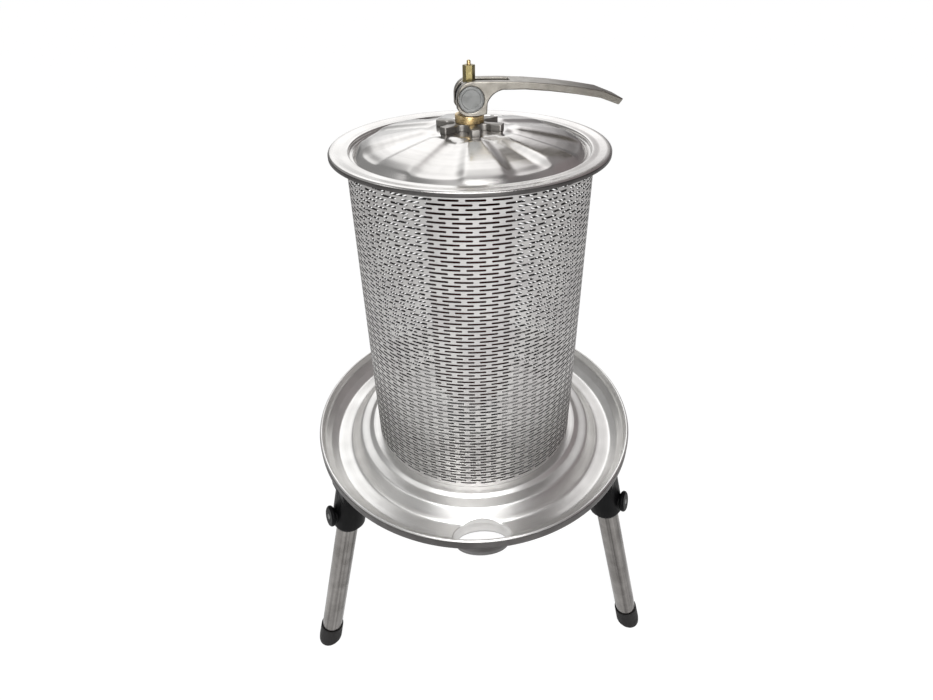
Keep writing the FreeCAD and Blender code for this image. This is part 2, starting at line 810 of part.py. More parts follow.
def make_barrel():
    body = new_body("barrel_nut")
    barrel = new_sketch(body, "XZ_Plane", "barrel")
    circle(barrel, "0", pivot, "barrel_radius")
    padded(body, barrel, "fork_width - 1", midplane=True)
    thread = new_sketch(body, "XY_Plane", "thread", f"{pivot} + barrel_radius + 1")
    circle(thread, "0", "0", "stud_radius + running_fit")
    pocketed(body, thread, "barrel_radius * 2 + 2")
    put(body, turn="lever_turn")


def make_lever():
    # ears round the barrel: full cam height below the pivot, less by the release on the side that
    # comes down when the lever is lifted; then a neck and a long arm bowed down to its tip
    body = new_body("cam_lever")
    thick = "lever_thickness"
    small = "(cam_height - cam_release)"
    foot = f"{ring_top} + seat_gap / 2"
    arm_top = f"{pivot} + cam_height"
    bow = [
        (
            f"lever_neck + {step} / 5 * (lever_bend - lever_neck)",
            f"{arm_top} - lever_bow * ({step} / 5) ^ 2",
        )
        for step in range(6)
    ]
    under = [(f"{x} - 3", f"{z} - {thick}") for x, z in bow[2:]]
    profile = new_sketch(body, "XZ_Plane", "profile")
    outline(profile, [
        ("0", foot, "cam_height"),
        ("0.95 * cam_height", f"{foot} + 2.5", "(0.9 * cam_height ^ 2 + 6.25) / 5"),
        ("0.98 * cam_height", f"{pivot} - 5"),
        ("1.9 * cam_height", f"{arm_top} - {thick} - 2", "-1.15 * cam_height"),
        *under,
        ("lever_length - 5", f"{pivot} - 13"),
        ("lever_length", f"{pivot} - 6"),
        *bow[::-1],
        (f"-{small}", f"{pivot} + 2", f"1.1 * {small}"),
        (f"-{small}", f"{foot} + cam_height / 2"),
    ])
    padded(body, profile, "fork_width", midplane=True)
    slot = new_sketch(body, "XZ_Plane", "slot")
    outline(slot, box_outline("-cam_height - 5", "fork_slot_end", f"{foot} - 5", f"{arm_top} + 5"))
    pocketed(body, slot, "fork_slot", midplane=True)
    hole = new_sketch(body, "XZ_Plane", "hole")
    circle(hole, "0", pivot, "barrel_radius + running_fit")
    pocketed(body, hole, "fork_width + 2", midplane=True)
    put(body, turn="lever_turn")


def make_vent():
    body = new_body("vent_valve")
    flats = new_sketch(body, "XY_Plane", "flats", stud_top)
    hexagon(flats, "hex_flats")
    padded(body, flats, "hex_height")
    shank = new_sketch(body, "XY_Plane", "shank", f"{stud_top} - valve_shank_length")
    circle(shank, "0", "0", "valve_shank")
    padded(body, shank, "valve_shank_length")
    bore = new_sketch(body, "XY_Plane", "bore", f"{hex_top} + 1")
    circle(bore, "0", "0", "pin_radius + running_fit * 2")
    pocketed(body, bore, "pin_depth + 3")
    pin = new_body("vent_pin")
    top = f"{hex_top} + pin_stand_out"
    turned(pin, "pin", [
        ("0", f"{hex_top} - pin_depth + 0.5"),
        ("pin_radius", f"{hex_top} - pin_depth + 0.5"),
        ("pin_radius", f"{top} - 0.8 * pin_radius"),
        ("0.7 * pin_radius", f"{top} - 0.2 * pin_radius"),
        ("0.3 * pin_radius", top),
        ("0", top),
    ])


# Water fitting under the tray

def across(x, out, *radius):
    # a corner of a shape that is turned about the branch's axis
    return (x, f"{branch} + ({out})", *radius)


def make_tee():
    body = new_body("water_tee")
    low = f"{branch} - branch_radius - tee_floor"
    high = f"{pipe_end} + tee_socket"
    turned(body, "block", [
        ("0", low),
        ("tee_radius - 3", low),
        ("tee_radius", f"{low} + 3"),
        ("tee_radius", high),
        ("0", high),
    ])
    branch_axis = (across("-100", "0"), across("100", "0"))
    turned(body, "branches", [
        across("-branch_reach", "0"),
        across("-branch_reach", "branch_radius"),
        across("branch_reach", "branch_radius"),
        across("branch_reach", "0"),
    ], branch_axis)
    floor = f"{branch} - water_bore - 1.5"
    turned(body, "chamber", [
        ("0", floor),
        (pipe_bore, floor),
        (pipe_bore, pipe_end),
        ("pipe_radius + running_fit", pipe_end),
        ("pipe_radius + running_fit", f"{high} + 1"),
        ("0", f"{high} + 1"),
    ], cut=True)
    turned(body, "water_way", [
        across("-branch_reach - 1", "0"),
        across("-branch_reach - 1", "water_bore"),
        across("branch_reach + 1", "water_bore"),
        across("branch_reach + 1", "0"),
    ], branch_axis, cut=True)


def make_valve(name, turn):
    # the valve lies along +X and is turned to its side; its bonnet, stem and handle point down
    body = new_body(f"{name}_valve_body")
    axis = (across("0", "0"), across("100", "0"))
    outlet = name == "drain"
    ends = [
        across("branch_reach", "0"),
        across("branch_reach", "valve_radius"),
        across("branch_reach + 10", "valve_radius"),
        across("branch_reach + 12", "valve_radius - 2"),
        across(f"{valve_end} - 12", "valve_radius - 2"),
        across(f"{valve_end} - 10", "valve_radius"),
        across(valve_end, "valve_radius"),
    ]
    if outlet:
        ends += [
            across(valve_end, "outlet_radius"),
            across(f"{valve_end} + outlet_length", "outlet_radius"),
            across(f"{valve_end} + outlet_length", "0"),
        ]
    else:
        ends.append(across(valve_end, "0"))
    turned(body, "casting", ends, axis)
    stem_axis = ((valve_middle, f"{branch} - 100"), (valve_middle, branch))
    face = f"{branch} - bonnet_reach"
    turned(body, "bonnet", [
        (valve_middle, face),
        (f"{valve_middle} + bonnet_radius", face),
        (f"{valve_middle} + bonnet_radius", f"{branch} - ball_radius"),
        (valve_middle, f"{branch} - ball_radius"),
    ], stem_axis)
    far = f"{valve_end} + outlet_length + 1" if outlet else f"{valve_end} + 1"
    turned(body, "water_way", [
        across("branch_reach - 1", "0"),
        across("branch_reach - 1", "water_bore"),
        across(far, "water_bore"),
        across(far, "0"),
    ], axis, cut=True)
    chamber = "(ball_radius + ball_clearance)"
    turned(body, "chamber", [
        across(f"{valve_middle} - {chamber}", "0"),
        across(f"{valve_middle} + {chamber}", "0", f"-{chamber} - 0.001"),
    ], axis, cut=True)
    turned(body, "stem_hole", [
        (valve_middle, f"{face} - 1"),
        (f"{valve_middle} + stem_radius + running_fit", f"{face} - 1"),
        (f"{valve_middle} + stem_radius + running_fit", f"{branch} - ball_radius + 3"),
        (valve_middle, f"{branch} - ball_radius + 3"),
    ], stem_axis, cut=True)
    put(body, turn=turn)

    ball = new_body(f"{name}_ball")
    turned(ball, "ball", [
        (valve_middle, f"{branch} - 0.9 * ball_radius"),
        (f"{valve_middle} + ball_radius * sqrt(0.19)", f"{branch} - 0.9 * ball_radius"),
        (valve_middle, f"{branch} + ball_radius", "ball_radius"),
    ], stem_axis)
    way = new_sketch(ball, "XZ_Plane", "way")
    circle(way, valve_middle, branch, "water_bore")
    pocketed(ball, way, "ball_radius * 2 + 2", midplane=True)
    put(ball, turn=turn)

    stem = new_body(f"{name}_stem")
    strip = f"({face} - handle_thickness)"
    end = f"{strip} - handle_nut_height - 1"
    turned(stem, "stem", [
        (valve_middle, end),
        (f"{valve_middle} + stem_radius", end),
        (f"{valve_middle} + stem_radius", f"{branch} - 0.9 * ball_radius"),
        (valve_middle, f"{branch} - 0.9 * ball_radius"),
    ], stem_axis)
    put(stem, turn=turn)

    handle = new_body(f"{name}_handle")
    flat = new_sketch(handle, "XY_Plane", "flat", strip)
    half = "handle_width / 2"
    outline(flat, [
        (f"{valve_middle} - {half}", f"-handle_length + {half}"),
        (f"{valve_middle} + {half}", f"-handle_length + {half}", f"{half} + 0.001"),
        (f"{valve_middle} + {half}", "0"),
        (f"{valve_middle} - {half}", "0", f"{half} + 0.001"),
    ])
    circle(flat, valve_middle, "0", "stem_radius + running_fit")
    padded(handle, flat, "handle_thickness - running_fit")
    put(handle, turn=turn)

    nut = new_body(f"{name}_handle_nut")
    flats = new_sketch(nut, "XY_Plane", "flats", f"{strip} - handle_nut_height")
    hexagon(flats, "handle_nut_flats", valve_middle)
    circle(flats, valve_middle, "0", "stem_radius + running_fit")
    padded(nut, flats, "handle_nut_height")
    put(nut, turn=turn)


def make_coupling():
    body = new_body("hose_coupling")
    axis = (across("0", "0"), across("100", "0"))
    plate = f"({valve_end} + claw_collar)"
    face = f"({plate} + claw_flange)"
    turned(body, "plate", [
        across(valve_end, "water_bore"),
        across(valve_end, "branch_radius"),
        across(plate, "branch_radius"),
        across(plate, "claw_radius"),
        across(face, "claw_radius"),
        across(face, "seal_radius"),
        across(f"{face} - 3", "seal_radius"),
        across(f"{face} - 3", "water_bore"),
    ], axis)
    hooks = turned(body, "claws", [
        across(f"{face} - 1", "claw_radius - 5"),
        across(f"{face} - 1", "claw_radius"),
        across(f"{face} + claw_hook", "claw_radius"),
        across(f"{face} + claw_hook", "claw_radius - 5"),
    ], axis, angle="50")
    pattern = repeated(body, hooks, 2)
    pattern.Axis = (hooks.Profile[0], ["Axis0"])
    seal = new_body("coupling_seal")
    turned(seal, "seal", [
        across(f"{face} - 3", "water_bore + 1"),
        across(f"{face} - 3", "seal_radius - running_fit"),
        across(f"{face} + 1", "seal_radius - running_fit"),
        across(f"{face} + 1", "water_bore + 1"),
    ], axis)


make_tray()
make_base_plate()
make_bolts()
make_legs()
make_column()
make_membrane()
make_lid()
make_star()
ring("thrust_ring", "closure_bore", "ring_radius", star_top, ring_top)
make_barrel()
make_lever()
make_vent()
make_tee()
make_valve("inlet", 0)
make_valve("drain", 180)
make_coupling()
make_basket()
doc.recompute()

pieces = [item for item in doc.Objects if item.TypeId == "PartDesign::Body"]
for item in doc.Objects:
    if "Invalid" in item.State or "Error" in item.State:
        raise RuntimeError(f"{item.Label} failed: {item.State}")
for piece in pieces:
    if piece.Shape.isNull() or not piece.Shape.isValid():
        raise RuntimeError(f"{piece.Label} has no valid shape")

os.makedirs("parts", exist_ok=True)
for piece in pieces:
    piece.Shape.exportStep(f"parts/{piece.Label}.step")
    box = piece.Shape.BoundBox
    print(f"{piece.Label}: {len(piece.Shape.Solids)} solid, {piece.Shape.Volume:.0f} mm3, "
          f"z {box.ZMin:.1f} to {box.ZMax:.1f}")
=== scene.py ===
import math

import bmesh
import bpy
import numpy as np
from mathutils import Matrix, Vector


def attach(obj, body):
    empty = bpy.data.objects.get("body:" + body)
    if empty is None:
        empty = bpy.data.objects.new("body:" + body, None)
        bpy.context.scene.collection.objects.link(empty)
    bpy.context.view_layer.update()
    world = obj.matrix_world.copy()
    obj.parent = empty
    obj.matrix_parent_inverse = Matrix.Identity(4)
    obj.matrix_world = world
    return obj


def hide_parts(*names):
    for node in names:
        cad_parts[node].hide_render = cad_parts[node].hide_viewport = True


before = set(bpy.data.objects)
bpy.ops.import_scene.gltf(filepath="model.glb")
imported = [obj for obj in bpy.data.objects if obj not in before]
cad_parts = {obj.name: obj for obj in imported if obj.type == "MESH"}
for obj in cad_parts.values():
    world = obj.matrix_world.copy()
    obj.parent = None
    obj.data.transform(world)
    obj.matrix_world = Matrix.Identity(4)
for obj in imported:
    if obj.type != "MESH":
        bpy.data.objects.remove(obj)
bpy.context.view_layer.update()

mm = 0.001
frontAngle = -90  # degrees, the side with the spout
sharpAngle = 35  # degrees between two faces from which their edge shows
flatAngle = 1  # degrees up to which loose triangles are joined
mergeDistance = 2e-6  # metres
print("frame loaded")


# Small helpers for nodes and colours

# A #rrggbb colour as linear values: each part p becomes p / 12.92 up to 0.04045 and
# ((p + 0.055) / 1.055) to the power 2.4 above it
def linearColour(code):
    parts = np.array([int(code[i:i + 2], 16) for i in (1, 3, 5)]) / 255
    linear = np.where(parts <= 0.04045, parts / 12.92, ((parts + 0.055) / 1.055) ** 2.4)
    return (*linear.tolist(), 1.0)


def addNode(tree, kind, settings=(), values=(), links=()):
    node = tree.nodes.new(kind)
    for name, value in dict(settings).items():
        setattr(node, name, value)
    for socket, value in dict(values).items():
        node.inputs[socket].default_value = value
    for socket, source in dict(links).items():
        tree.links.new(source, node.inputs[socket])
    return node


# Where the middle of each noise starts and ends. It is spread evenly from a low to a high value
noiseRange = {"patches": (0.35, 0.65), "marks": (0.45, 0.75), "both": (0.12, 0.4)}


def spread(tree, noise, source, low=0.0, high=1.0):
    start, stop = noiseRange[noise]
    return addNode(tree, "ShaderNodeMapRange",
                   values={"From Min": start, "From Max": stop, "To Min": low, "To Max": high},
                   links={"Value": source}).outputs["Result"]


# A surface finish: its colour drifts between two tones in patches, fine marks darken it, and its
# roughness follows both. Marks are noise stretched along an axis, or rings when ringMm is given:
# noise that depends on the radius and the height alone. A finish that follows a leaning tube reads
# the place in the tube's own frame, which the tube's mesh carries
def makeFinish(name, look):
    material = bpy.data.materials.new(name)
    material.use_nodes = True
    tree = material.node_tree
    shader = tree.nodes["Principled BSDF"]
    shader.inputs["Metallic"].default_value = look["metallic"]
    shader.inputs["Specular IOR Level"].default_value = look.get("sheen", 0.5)
    if look.get("ownFrame"):
        place = addNode(tree, "ShaderNodeAttribute", {"attribute_name": "ownPlace"})
        place = place.outputs["Vector"]
    else:
        place = addNode(tree, "ShaderNodeTexCoord").outputs["Object"]
    patches = addNode(tree, "ShaderNodeTexNoise",
                      values={"Scale": 1 / (look["patchMm"] * mm), "Detail": 3.0}, links={"Vector": place})
    if "ringMm" in look:
        parts = addNode(tree, "ShaderNodeSeparateXYZ", links={"Vector": place})
        flat = addNode(tree, "ShaderNodeCombineXYZ",
                       links={"X": parts.outputs["X"], "Y": parts.outputs["Y"]})
        radius = addNode(tree, "ShaderNodeVectorMath", {"operation": "LENGTH"},
                         links={0: flat.outputs["Vector"]})
        along = addNode(tree, "ShaderNodeCombineXYZ",
                        links={"X": radius.outputs["Value"], "Z": parts.outputs["Z"]})
        scale = 1 / (look["ringMm"] * mm)
    else:
        along = addNode(tree, "ShaderNodeMapping", values={"Scale": look.get("stretch", (1, 1, 1))},
                        links={"Vector": place})
        scale = 1 / (look["grainMm"] * mm)
    marks = addNode(tree, "ShaderNodeTexNoise", values={"Scale": scale, "Detail": 4.0, "Roughness": 0.6},
                    links={"Vector": along.outputs["Vector"]})
    drift = spread(tree, "patches", patches.outputs["Fac"])
    tones = addNode(tree, "ShaderNodeMix", {"data_type": "RGBA"},
                    {6: linearColour(look["colour"]), 7: linearColour(look["otherColour"])},
                    {0: drift})
    depth = spread(tree, "marks", marks.outputs["Fac"], high=look.get("markDepth", 0.15))
    marked = addNode(tree, "ShaderNodeMix", {"data_type": "RGBA"}, {7: linearColour(look["markColour"])},
                     {0: depth, 6: tones.outputs[2]})
    tree.links.new(marked.outputs[2], shader.inputs["Base Color"])
    both = addNode(tree, "ShaderNodeMath", {"operation": "MULTIPLY"},
                   links={0: patches.outputs["Fac"], 1: marks.outputs["Fac"]})
    rough = spread(tree, "both", both.outputs["Value"], *look["rough"])
    tree.links.new(rough, shader.inputs["Roughness"])
    relief = addNode(tree, "ShaderNodeBump", values={"Strength": look.get("bump", 0.3),
                                                     "Distance": look["reliefMm"] * mm},
                     links={"Height": marks.outputs["Fac"]})
    tree.links.new(relief.outputs["Normal"], shader.inputs["Normal"])
    return material


finishes = {
    # 304 stainless, deep drawn and buffed: soft mirror images and faint polishing rings
    "polished_stainless": {
        "colour": "#d3d1cf", "otherColour": "#c4c2c0", "markColour": "#9d9b99", "patchMm": 60,
        "metallic": 1.0, "rough": (0.17, 0.26), "ringMm": 5.0, "reliefMm": 0.008, "bump": 0.08,
        "markDepth": 0.08,
    },
    # the same steel brushed after buffing: a bright satin that blurs what it mirrors
    "brushed_stainless": {
        "colour": "#e6e5e3", "otherColour": "#dad9d7", "markColour": "#b6b5b3", "patchMm": 50,
        "metallic": 1.0, "rough": (0.29, 0.39), "ringMm": 3.0, "reliefMm": 0.006, "bump": 0.05,
        "markDepth": 0.12,
    },
    # 304 stainless, dull, with drawing marks, its colour darkened well past real steel: a painted shade for
    # undersides, skirts under rims and the basket's inside
    "painted_shade_stainless": {
        "colour": "#636160", "otherColour": "#575554", "markColour": "#444241", "patchMm": 30,
        "metallic": 1.0, "rough": (0.38, 0.52), "ringMm": 4.0, "reliefMm": 0.03,
    },
    # 304 stainless sheet, slotted and rolled: satin, with a soft brush round the wall
    "satin_stainless": {
        "colour": "#d4d3d1", "otherColour": "#c8c6c5", "markColour": "#a19f9e", "patchMm": 45,
        "metallic": 1.0, "rough": (0.42, 0.54), "grainMm": 1.4, "stretch": (0.2, 0.2, 2.0),
        "reliefMm": 0.01, "bump": 0.15, "markDepth": 0.3,
    },
    # the basket sheet's slot walls, painted near black: a painted shade in the slots, over a torn grain
    "slot_shade_stainless": {
        "colour": "#181717", "otherColour": "#121111", "markColour": "#0c0b0b", "patchMm": 20,
        "metallic": 1.0, "rough": (0.5, 0.65), "grainMm": 1.0, "reliefMm": 0.02,
    },
    # bright drawn steel tube: long streaks from the die, drawn coarser and darker than real so that they
    # show as painted reflection bands along the tube
    "steel_tube": {
        "colour": "#989592", "otherColour": "#807d7a", "markColour": "#3a3836", "patchMm": 25,
        "metallic": 1.0, "rough": (0.2, 0.3), "grainMm": 6.0, "stretch": (1.0, 1.0, 0.01),
        "reliefMm": 0.02, "bump": 0.2, "markDepth": 0.8, "ownFrame": True,
    },
    # zinc plated steel, dull and a little blotched
    "zinc_steel": {
        "colour": "#838483", "otherColour": "#747574", "markColour": "#5c5d5c", "patchMm": 18,
        "metallic": 1.0, "rough": (0.3, 0.45), "grainMm": 0.8, "reliefMm": 0.03,
    },
    # sand cast aluminium, tumbled: a soft satin with a fine pebble from the mould
    "cast_aluminium": {
        "colour": "#9a968e", "otherColour": "#88847d", "markColour": "#6c6862", "patchMm": 14,
        "metallic": 1.0, "rough": (0.28, 0.42), "grainMm": 1.4, "reliefMm": 0.06, "bump": 0.35,
    },
    # the same casting after years of juice: dark and dry between its handled edges
    "dark_cast_aluminium": {
        "colour": "#9a9793", "otherColour": "#83807c", "markColour": "#5f5c59", "patchMm": 8,
        "metallic": 1.0, "rough": (0.32, 0.48), "grainMm": 1.2, "reliefMm": 0.08, "bump": 0.4,
    },
    # turned brass, left bare and handled: pale gold with browner patches
    "bare_brass": {
        "colour": "#e6cfa2", "otherColour": "#cdb07a", "markColour": "#9a8353", "patchMm": 9,
        "metallic": 1.0, "rough": (0.2, 0.34), "ringMm": 0.8, "reliefMm": 0.02,
    },
    # the same brass where nobody rubs it: dull and greenish
    "tarnished_brass": {
        "colour": "#90865f", "otherColour": "#7a6f4b", "markColour": "#574e33", "patchMm": 6,
        "metallic": 1.0, "rough": (0.28, 0.42), "grainMm": 1.0, "reliefMm": 0.03,
    },
    # forged brass, nickel plated: bright, slightly yellow
    "nickel_brass": {
        "colour": "#c6c1b7", "otherColour": "#b0aa9e", "markColour": "#8b857a", "patchMm": 10,
        "metallic": 1.0, "rough": (0.18, 0.32), "grainMm": 1.0, "reliefMm": 0.04,
    },
    # glass filled nylon, moulded black: a low sheen over fine spark grain
    "black_plastic": {
        "colour": "#0c0c0d", "otherColour": "#080809", "markColour": "#141415", "patchMm": 12,
        "metallic": 0.0, "rough": (0.32, 0.48), "sheen": 0.08, "grainMm": 0.6, "reliefMm": 0.06,
        "bump": 0.35,
    },
    # black rubber, moulded: matt with dusty patches
    "black_rubber": {
        "colour": "#131212", "otherColour": "#1d1c1b", "markColour": "#2c2a29", "patchMm": 7,
        "metallic": 0.0, "rough": (0.5, 0.72), "sheen": 0.3, "grainMm": 0.9, "reliefMm": 0.08,
    },
    # natural rubber, dipped: reddish brown and slightly waxy
    "red_rubber": {
        "colour": "#471b15", "otherColour": "#391510", "markColour": "#260d09", "patchMm": 30,
        "metallic": 0.0, "rough": (0.42, 0.6), "grainMm": 1.6, "reliefMm": 0.1,
    },
    # steel lever dipped in black vinyl
    "coated_handle": {
        "colour": "#1d1d1f", "otherColour": "#151517", "markColour": "#2c2c2e", "patchMm": 10,
        "metallic": 0.0, "rough": (0.3, 0.45), "grainMm": 1.2, "reliefMm": 0.08,
    },
}
materials = {name: makeFinish(name, look) for name, look in finishes.items()}
print("finishes made")


# Small helpers for surfaces

rounding = {"straightFrom": 1.565, "runShare": 0.49, "degreesPerStep": 12, "leastSteps": 3}


# A line through (x, y, radius) corners where each corner with a radius becomes a circle's arc that
# touches both of its runs, cut back to less than half of the shorter run
def roundedLine(corners, closed=False):
    points = []
    count = len(corners)
    for i, (x, y, radius) in enumerate(corners):
        here = np.array([x, y], float)
        if radius <= 0 or (not closed and i in (0, count - 1)):
            points.append(here[None])
            continue
        before = np.array(corners[i - 1][:2], float) - here
        after = np.array(corners[(i + 1) % count][:2], float) - here
        runs = np.linalg.norm(before), np.linalg.norm(after)
        before, after = before / runs[0], after / runs[1]
        half = math.acos(np.clip(before @ after, -1, 1)) / 2
        if half > rounding["straightFrom"]:
            points.append(here[None])
            continue
        reach = min(radius / math.tan(half), rounding["runShare"] * min(runs))
        radius = reach * math.tan(half)
        middle = here + (before + after) / np.linalg.norm(before + after) * radius / math.sin(half)
        sweep = math.pi - 2 * half
        steps = int(math.ceil(math.degrees(sweep) / rounding["degreesPerStep"])) + 1
        steps = max(rounding["leastSteps"], steps)
        start, end = here + before * reach - middle, here + after * reach - middle
        turn = np.linspace(0, 1, steps)[:, None] * sweep
        points.append(middle + (start * np.sin(sweep - turn) + end * np.sin(turn)) / math.sin(sweep))
    return np.concatenate(points)


# The same line with every run longer than step cut into equal parts
def spaced(line, step, closed=False):
    ends = np.roll(line, -1, axis=0) if closed else line[1:]
    starts = line if closed else line[:-1]
    parts = [start + (end - start) * np.arange(n)[:, None] / n
             for start, end in zip(starts, ends)
             for n in [max(1, int(np.ceil(np.linalg.norm(end - start) / step)))]]
    return np.concatenate(parts if closed else parts + [line[-1:]])


# Four-cornered faces between neighbours on a grid numbered row by row
def gridFaces(rows, columns, closeRows=False, closeColumns=True):
    row = np.arange(rows if closeRows else rows - 1)[:, None]
    column = np.arange(columns if closeColumns else columns - 1)[None]
    nextRow, nextColumn = (row + 1) % rows, (column + 1) % columns
    corners = [row * columns + column, row * columns + nextColumn,
               nextRow * columns + nextColumn, nextRow * columns + column]
    return np.stack([np.broadcast_to(c, (row.size, column.size)) for c in corners], -1).reshape(-1, 4)


# A mesh from points in millimetres and groups of faces. Doubles are merged and the faces of a
# closed shell are turned outwards. An open sheet is turned so that its normals lean along the
# vector outward, and Solidify gives it its wall, whose inner side takes the finish under. The place
# of every point in the piece's own frame, rows side, third and axis from an origin, is kept with it
def addPiece(name, points, faceGroups, body, slot, nodes=(), outward=None, smooth=sharpAngle, wall=0.0,
             finish=None, under=None, frameOf=None):
    mesh = bpy.data.meshes.new(name)
    mesh.from_pydata((np.asarray(points, float) * mm).tolist(), [],
                     [face for group in faceGroups for face in group.tolist()])
    work = bmesh.new()
    work.from_mesh(mesh)
    bmesh.ops.remove_doubles(work, verts=work.verts, dist=mergeDistance)
    bmesh.ops.dissolve_degenerate(work, edges=work.edges, dist=mergeDistance / 2)
    bmesh.ops.recalc_face_normals(work, faces=work.faces)
    work.to_mesh(mesh)
    work.free()
    if outward is not None:
        normals = np.zeros(len(mesh.polygons) * 3)
        mesh.polygons.foreach_get("normal", normals)
        areas = np.zeros(len(mesh.polygons))
        mesh.polygons.foreach_get("area", areas)
        if (normals.reshape(-1, 3) * areas[:, None]).sum(0) @ np.array(outward, float) < 0:
            mesh.flip_normals()
    mesh.shade_smooth()
    mesh.set_sharp_from_angle(angle=math.radians(smooth))
    mesh.materials.append(materials[finish or slot])
    if frameOf:
        origin, rows = frameOf
        places = np.zeros(len(mesh.vertices) * 3)
        mesh.vertices.foreach_get("co", places)
        own = (places.reshape(-1, 3) - np.array(origin, float) * mm) @ np.array(rows, float).T
        kept = mesh.attributes.new("ownPlace", "FLOAT_VECTOR", "POINT")
        kept.data.foreach_set("vector", own.ravel())
    piece = bpy.data.objects.new(name, mesh)
    bpy.context.scene.collection.objects.link(piece)
    if wall:
        sheet = piece.modifiers.new("wall", "SOLIDIFY")
        sheet.thickness = wall * mm
        sheet.offset = -1
        if under:
            mesh.materials.append(materials[under])
            sheet.material_offset = 1
    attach(piece, body)
    if nodes:
        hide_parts(*nodes)
    return piece


def addBevel(piece, width, segments=3):
    edge = piece.modifiers.new("edge", "BEVEL")
    edge.width = width * mm
    edge.segments = segments
    edge.limit_method = "ANGLE"
    edge.angle_limit = math.radians(sharpAngle)
    edge.harden_normals = False
    even = piece.modifiers.new("even", "WEIGHTED_NORMAL")
    even.keep_sharp = True


# The faces whose middles (in millimetres) pass the test take the piece's second finish
def finishWhere(piece, test):
    middles = np.zeros(len(piece.data.polygons) * 3)
    piece.data.polygons.foreach_get("center", middles)
    x, y, z = middles.reshape(-1, 3).T / mm
    piece.data.polygons.foreach_set("material_index", test(x, y, z).astype(np.int32))


# A copy of a solid's mesh with its loose triangles joined and its edges broken
def dressNode(node, body, slot, bevel, finish=None):
    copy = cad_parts[node].data.copy()
    work = bmesh.new()
    work.from_mesh(copy)
    bmesh.ops.remove_doubles(work, verts=work.verts, dist=mergeDistance)
    bmesh.ops.dissolve_limit(work, angle_limit=math.radians(flatAngle), verts=work.verts,
                             edges=work.edges)
    work.to_mesh(copy)
    work.free()
    copy.materials.clear()
    copy.materials.append(materials[finish or slot])
    copy.shade_smooth()
    copy.set_sharp_from_angle(angle=math.radians(sharpAngle))
    piece = bpy.data.objects.new(node + "_dressed", copy)
    bpy.context.scene.collection.objects.link(piece)
    addBevel(piece, bevel)
    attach(piece, body)
    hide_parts(node)
    return piece


# A (radius, height) profile carried round an axis: origin + height times the axis + radius times
# the side vector turned by each angle
def turnedGrid(profile, steps, origin=(0, 0, 0), axis=(0, 0, 1), side=(1, 0, 0)):
    axis, side = np.array(axis, float), np.array(side, float)
    third = np.cross(axis, side)
    turn = np.arange(steps) * 2 * np.pi / steps
    ring = np.cos(turn)[:, None] * side + np.sin(turn)[:, None] * third
    points = np.array(origin, float) + profile[:, 1, None, None] * axis + profile[:, 0, None, None] * ring
    return points.reshape(-1, 3)


# A turned solid from (radius, height, corner radius) corners, which run from the axis back to the
# axis, or all round a ring's section when closed
def addTurned(name, corners, body, slot, nodes=(), steps=72, closed=False, origin=(0, 0, 0), axis=(0, 0, 1),
              side=(1, 0, 0)):
    profile = roundedLine(corners, closed)
    points = turnedGrid(profile, steps, origin, axis, side)
    faces = gridFaces(len(profile), steps, closeRows=closed)
    return addPiece(name, points, [faces], body, slot, nodes,
                    frameOf=(origin, (side, np.cross(axis, side), axis)))


# A flat plate with a round bore: the outline loop is carried up a section that is filleted above
# and broken below, in over the top to the bore, down it and back underneath. A fillet step moves
# each point inwards along the loop's own normal
def platePoints(loop, bottom, top, fillet, boreRadius):
    ahead = np.roll(loop, -1, axis=0) - np.roll(loop, 1, axis=0)
    inwards = np.stack([-ahead[:, 1], ahead[:, 0]], -1) / np.linalg.norm(ahead, axis=1)[:, None]
    angle = np.arctan2(loop[:, 1], loop[:, 0])
    bore = np.stack([np.cos(angle), np.sin(angle)], -1) * boreRadius
    small = fillet / 3
    rows = [(loop + inwards * small, bottom), (loop, bottom + small)]
    rows += [(loop + inwards * fillet * (1 - np.cos(a)), top - fillet + fillet * np.sin(a))
             for a in np.linspace(0, np.pi / 2, 5)]
    rows += [(bore * (1 + small / boreRadius), top), (bore, top - small), (bore, bottom)]
    points = [np.column_stack([flat, np.full(len(flat), height)]) for flat, height in rows]
    return np.concatenate(points), len(rows)


print("helpers ready")


# Juice tray: a drawn dish with an oval spout in its channel, brushed inside

tray = {
    "wall": 1.2,
    "profile": [(17.2, 368, 0), (166, 368, 4), (172, 364, 5), (186, 363, 6), (202, 347, 7), (224, 347, 7),
                (234.4, 355, 12), (243.5, 366.2, 12), (245.6, 378.4, 1.4), (248, 379, 1.2), (250, 377, 1.4),
                (250, 365, 0)],
    "skirtShadeFrom": 249.2,
    "spoutCentre": 218.9,
    "spoutAcross": 40.0,
    "spoutDeep": 22.5,
    "spoutEdge": 1.3,
    "spoutFloor": 347.0,
    "spoutEnd": 332.4,
    "spoutTaper": 5.0,
    "columns": 180,
    "rowStep": 4.0,
    "windowInner": 190.0,
    "windowOuter": (244.6, 372.0),
    "windowColumns": 7,
    "patchRows": 12,
    "edgeRows": 4,
    "dropRows": 6,
}


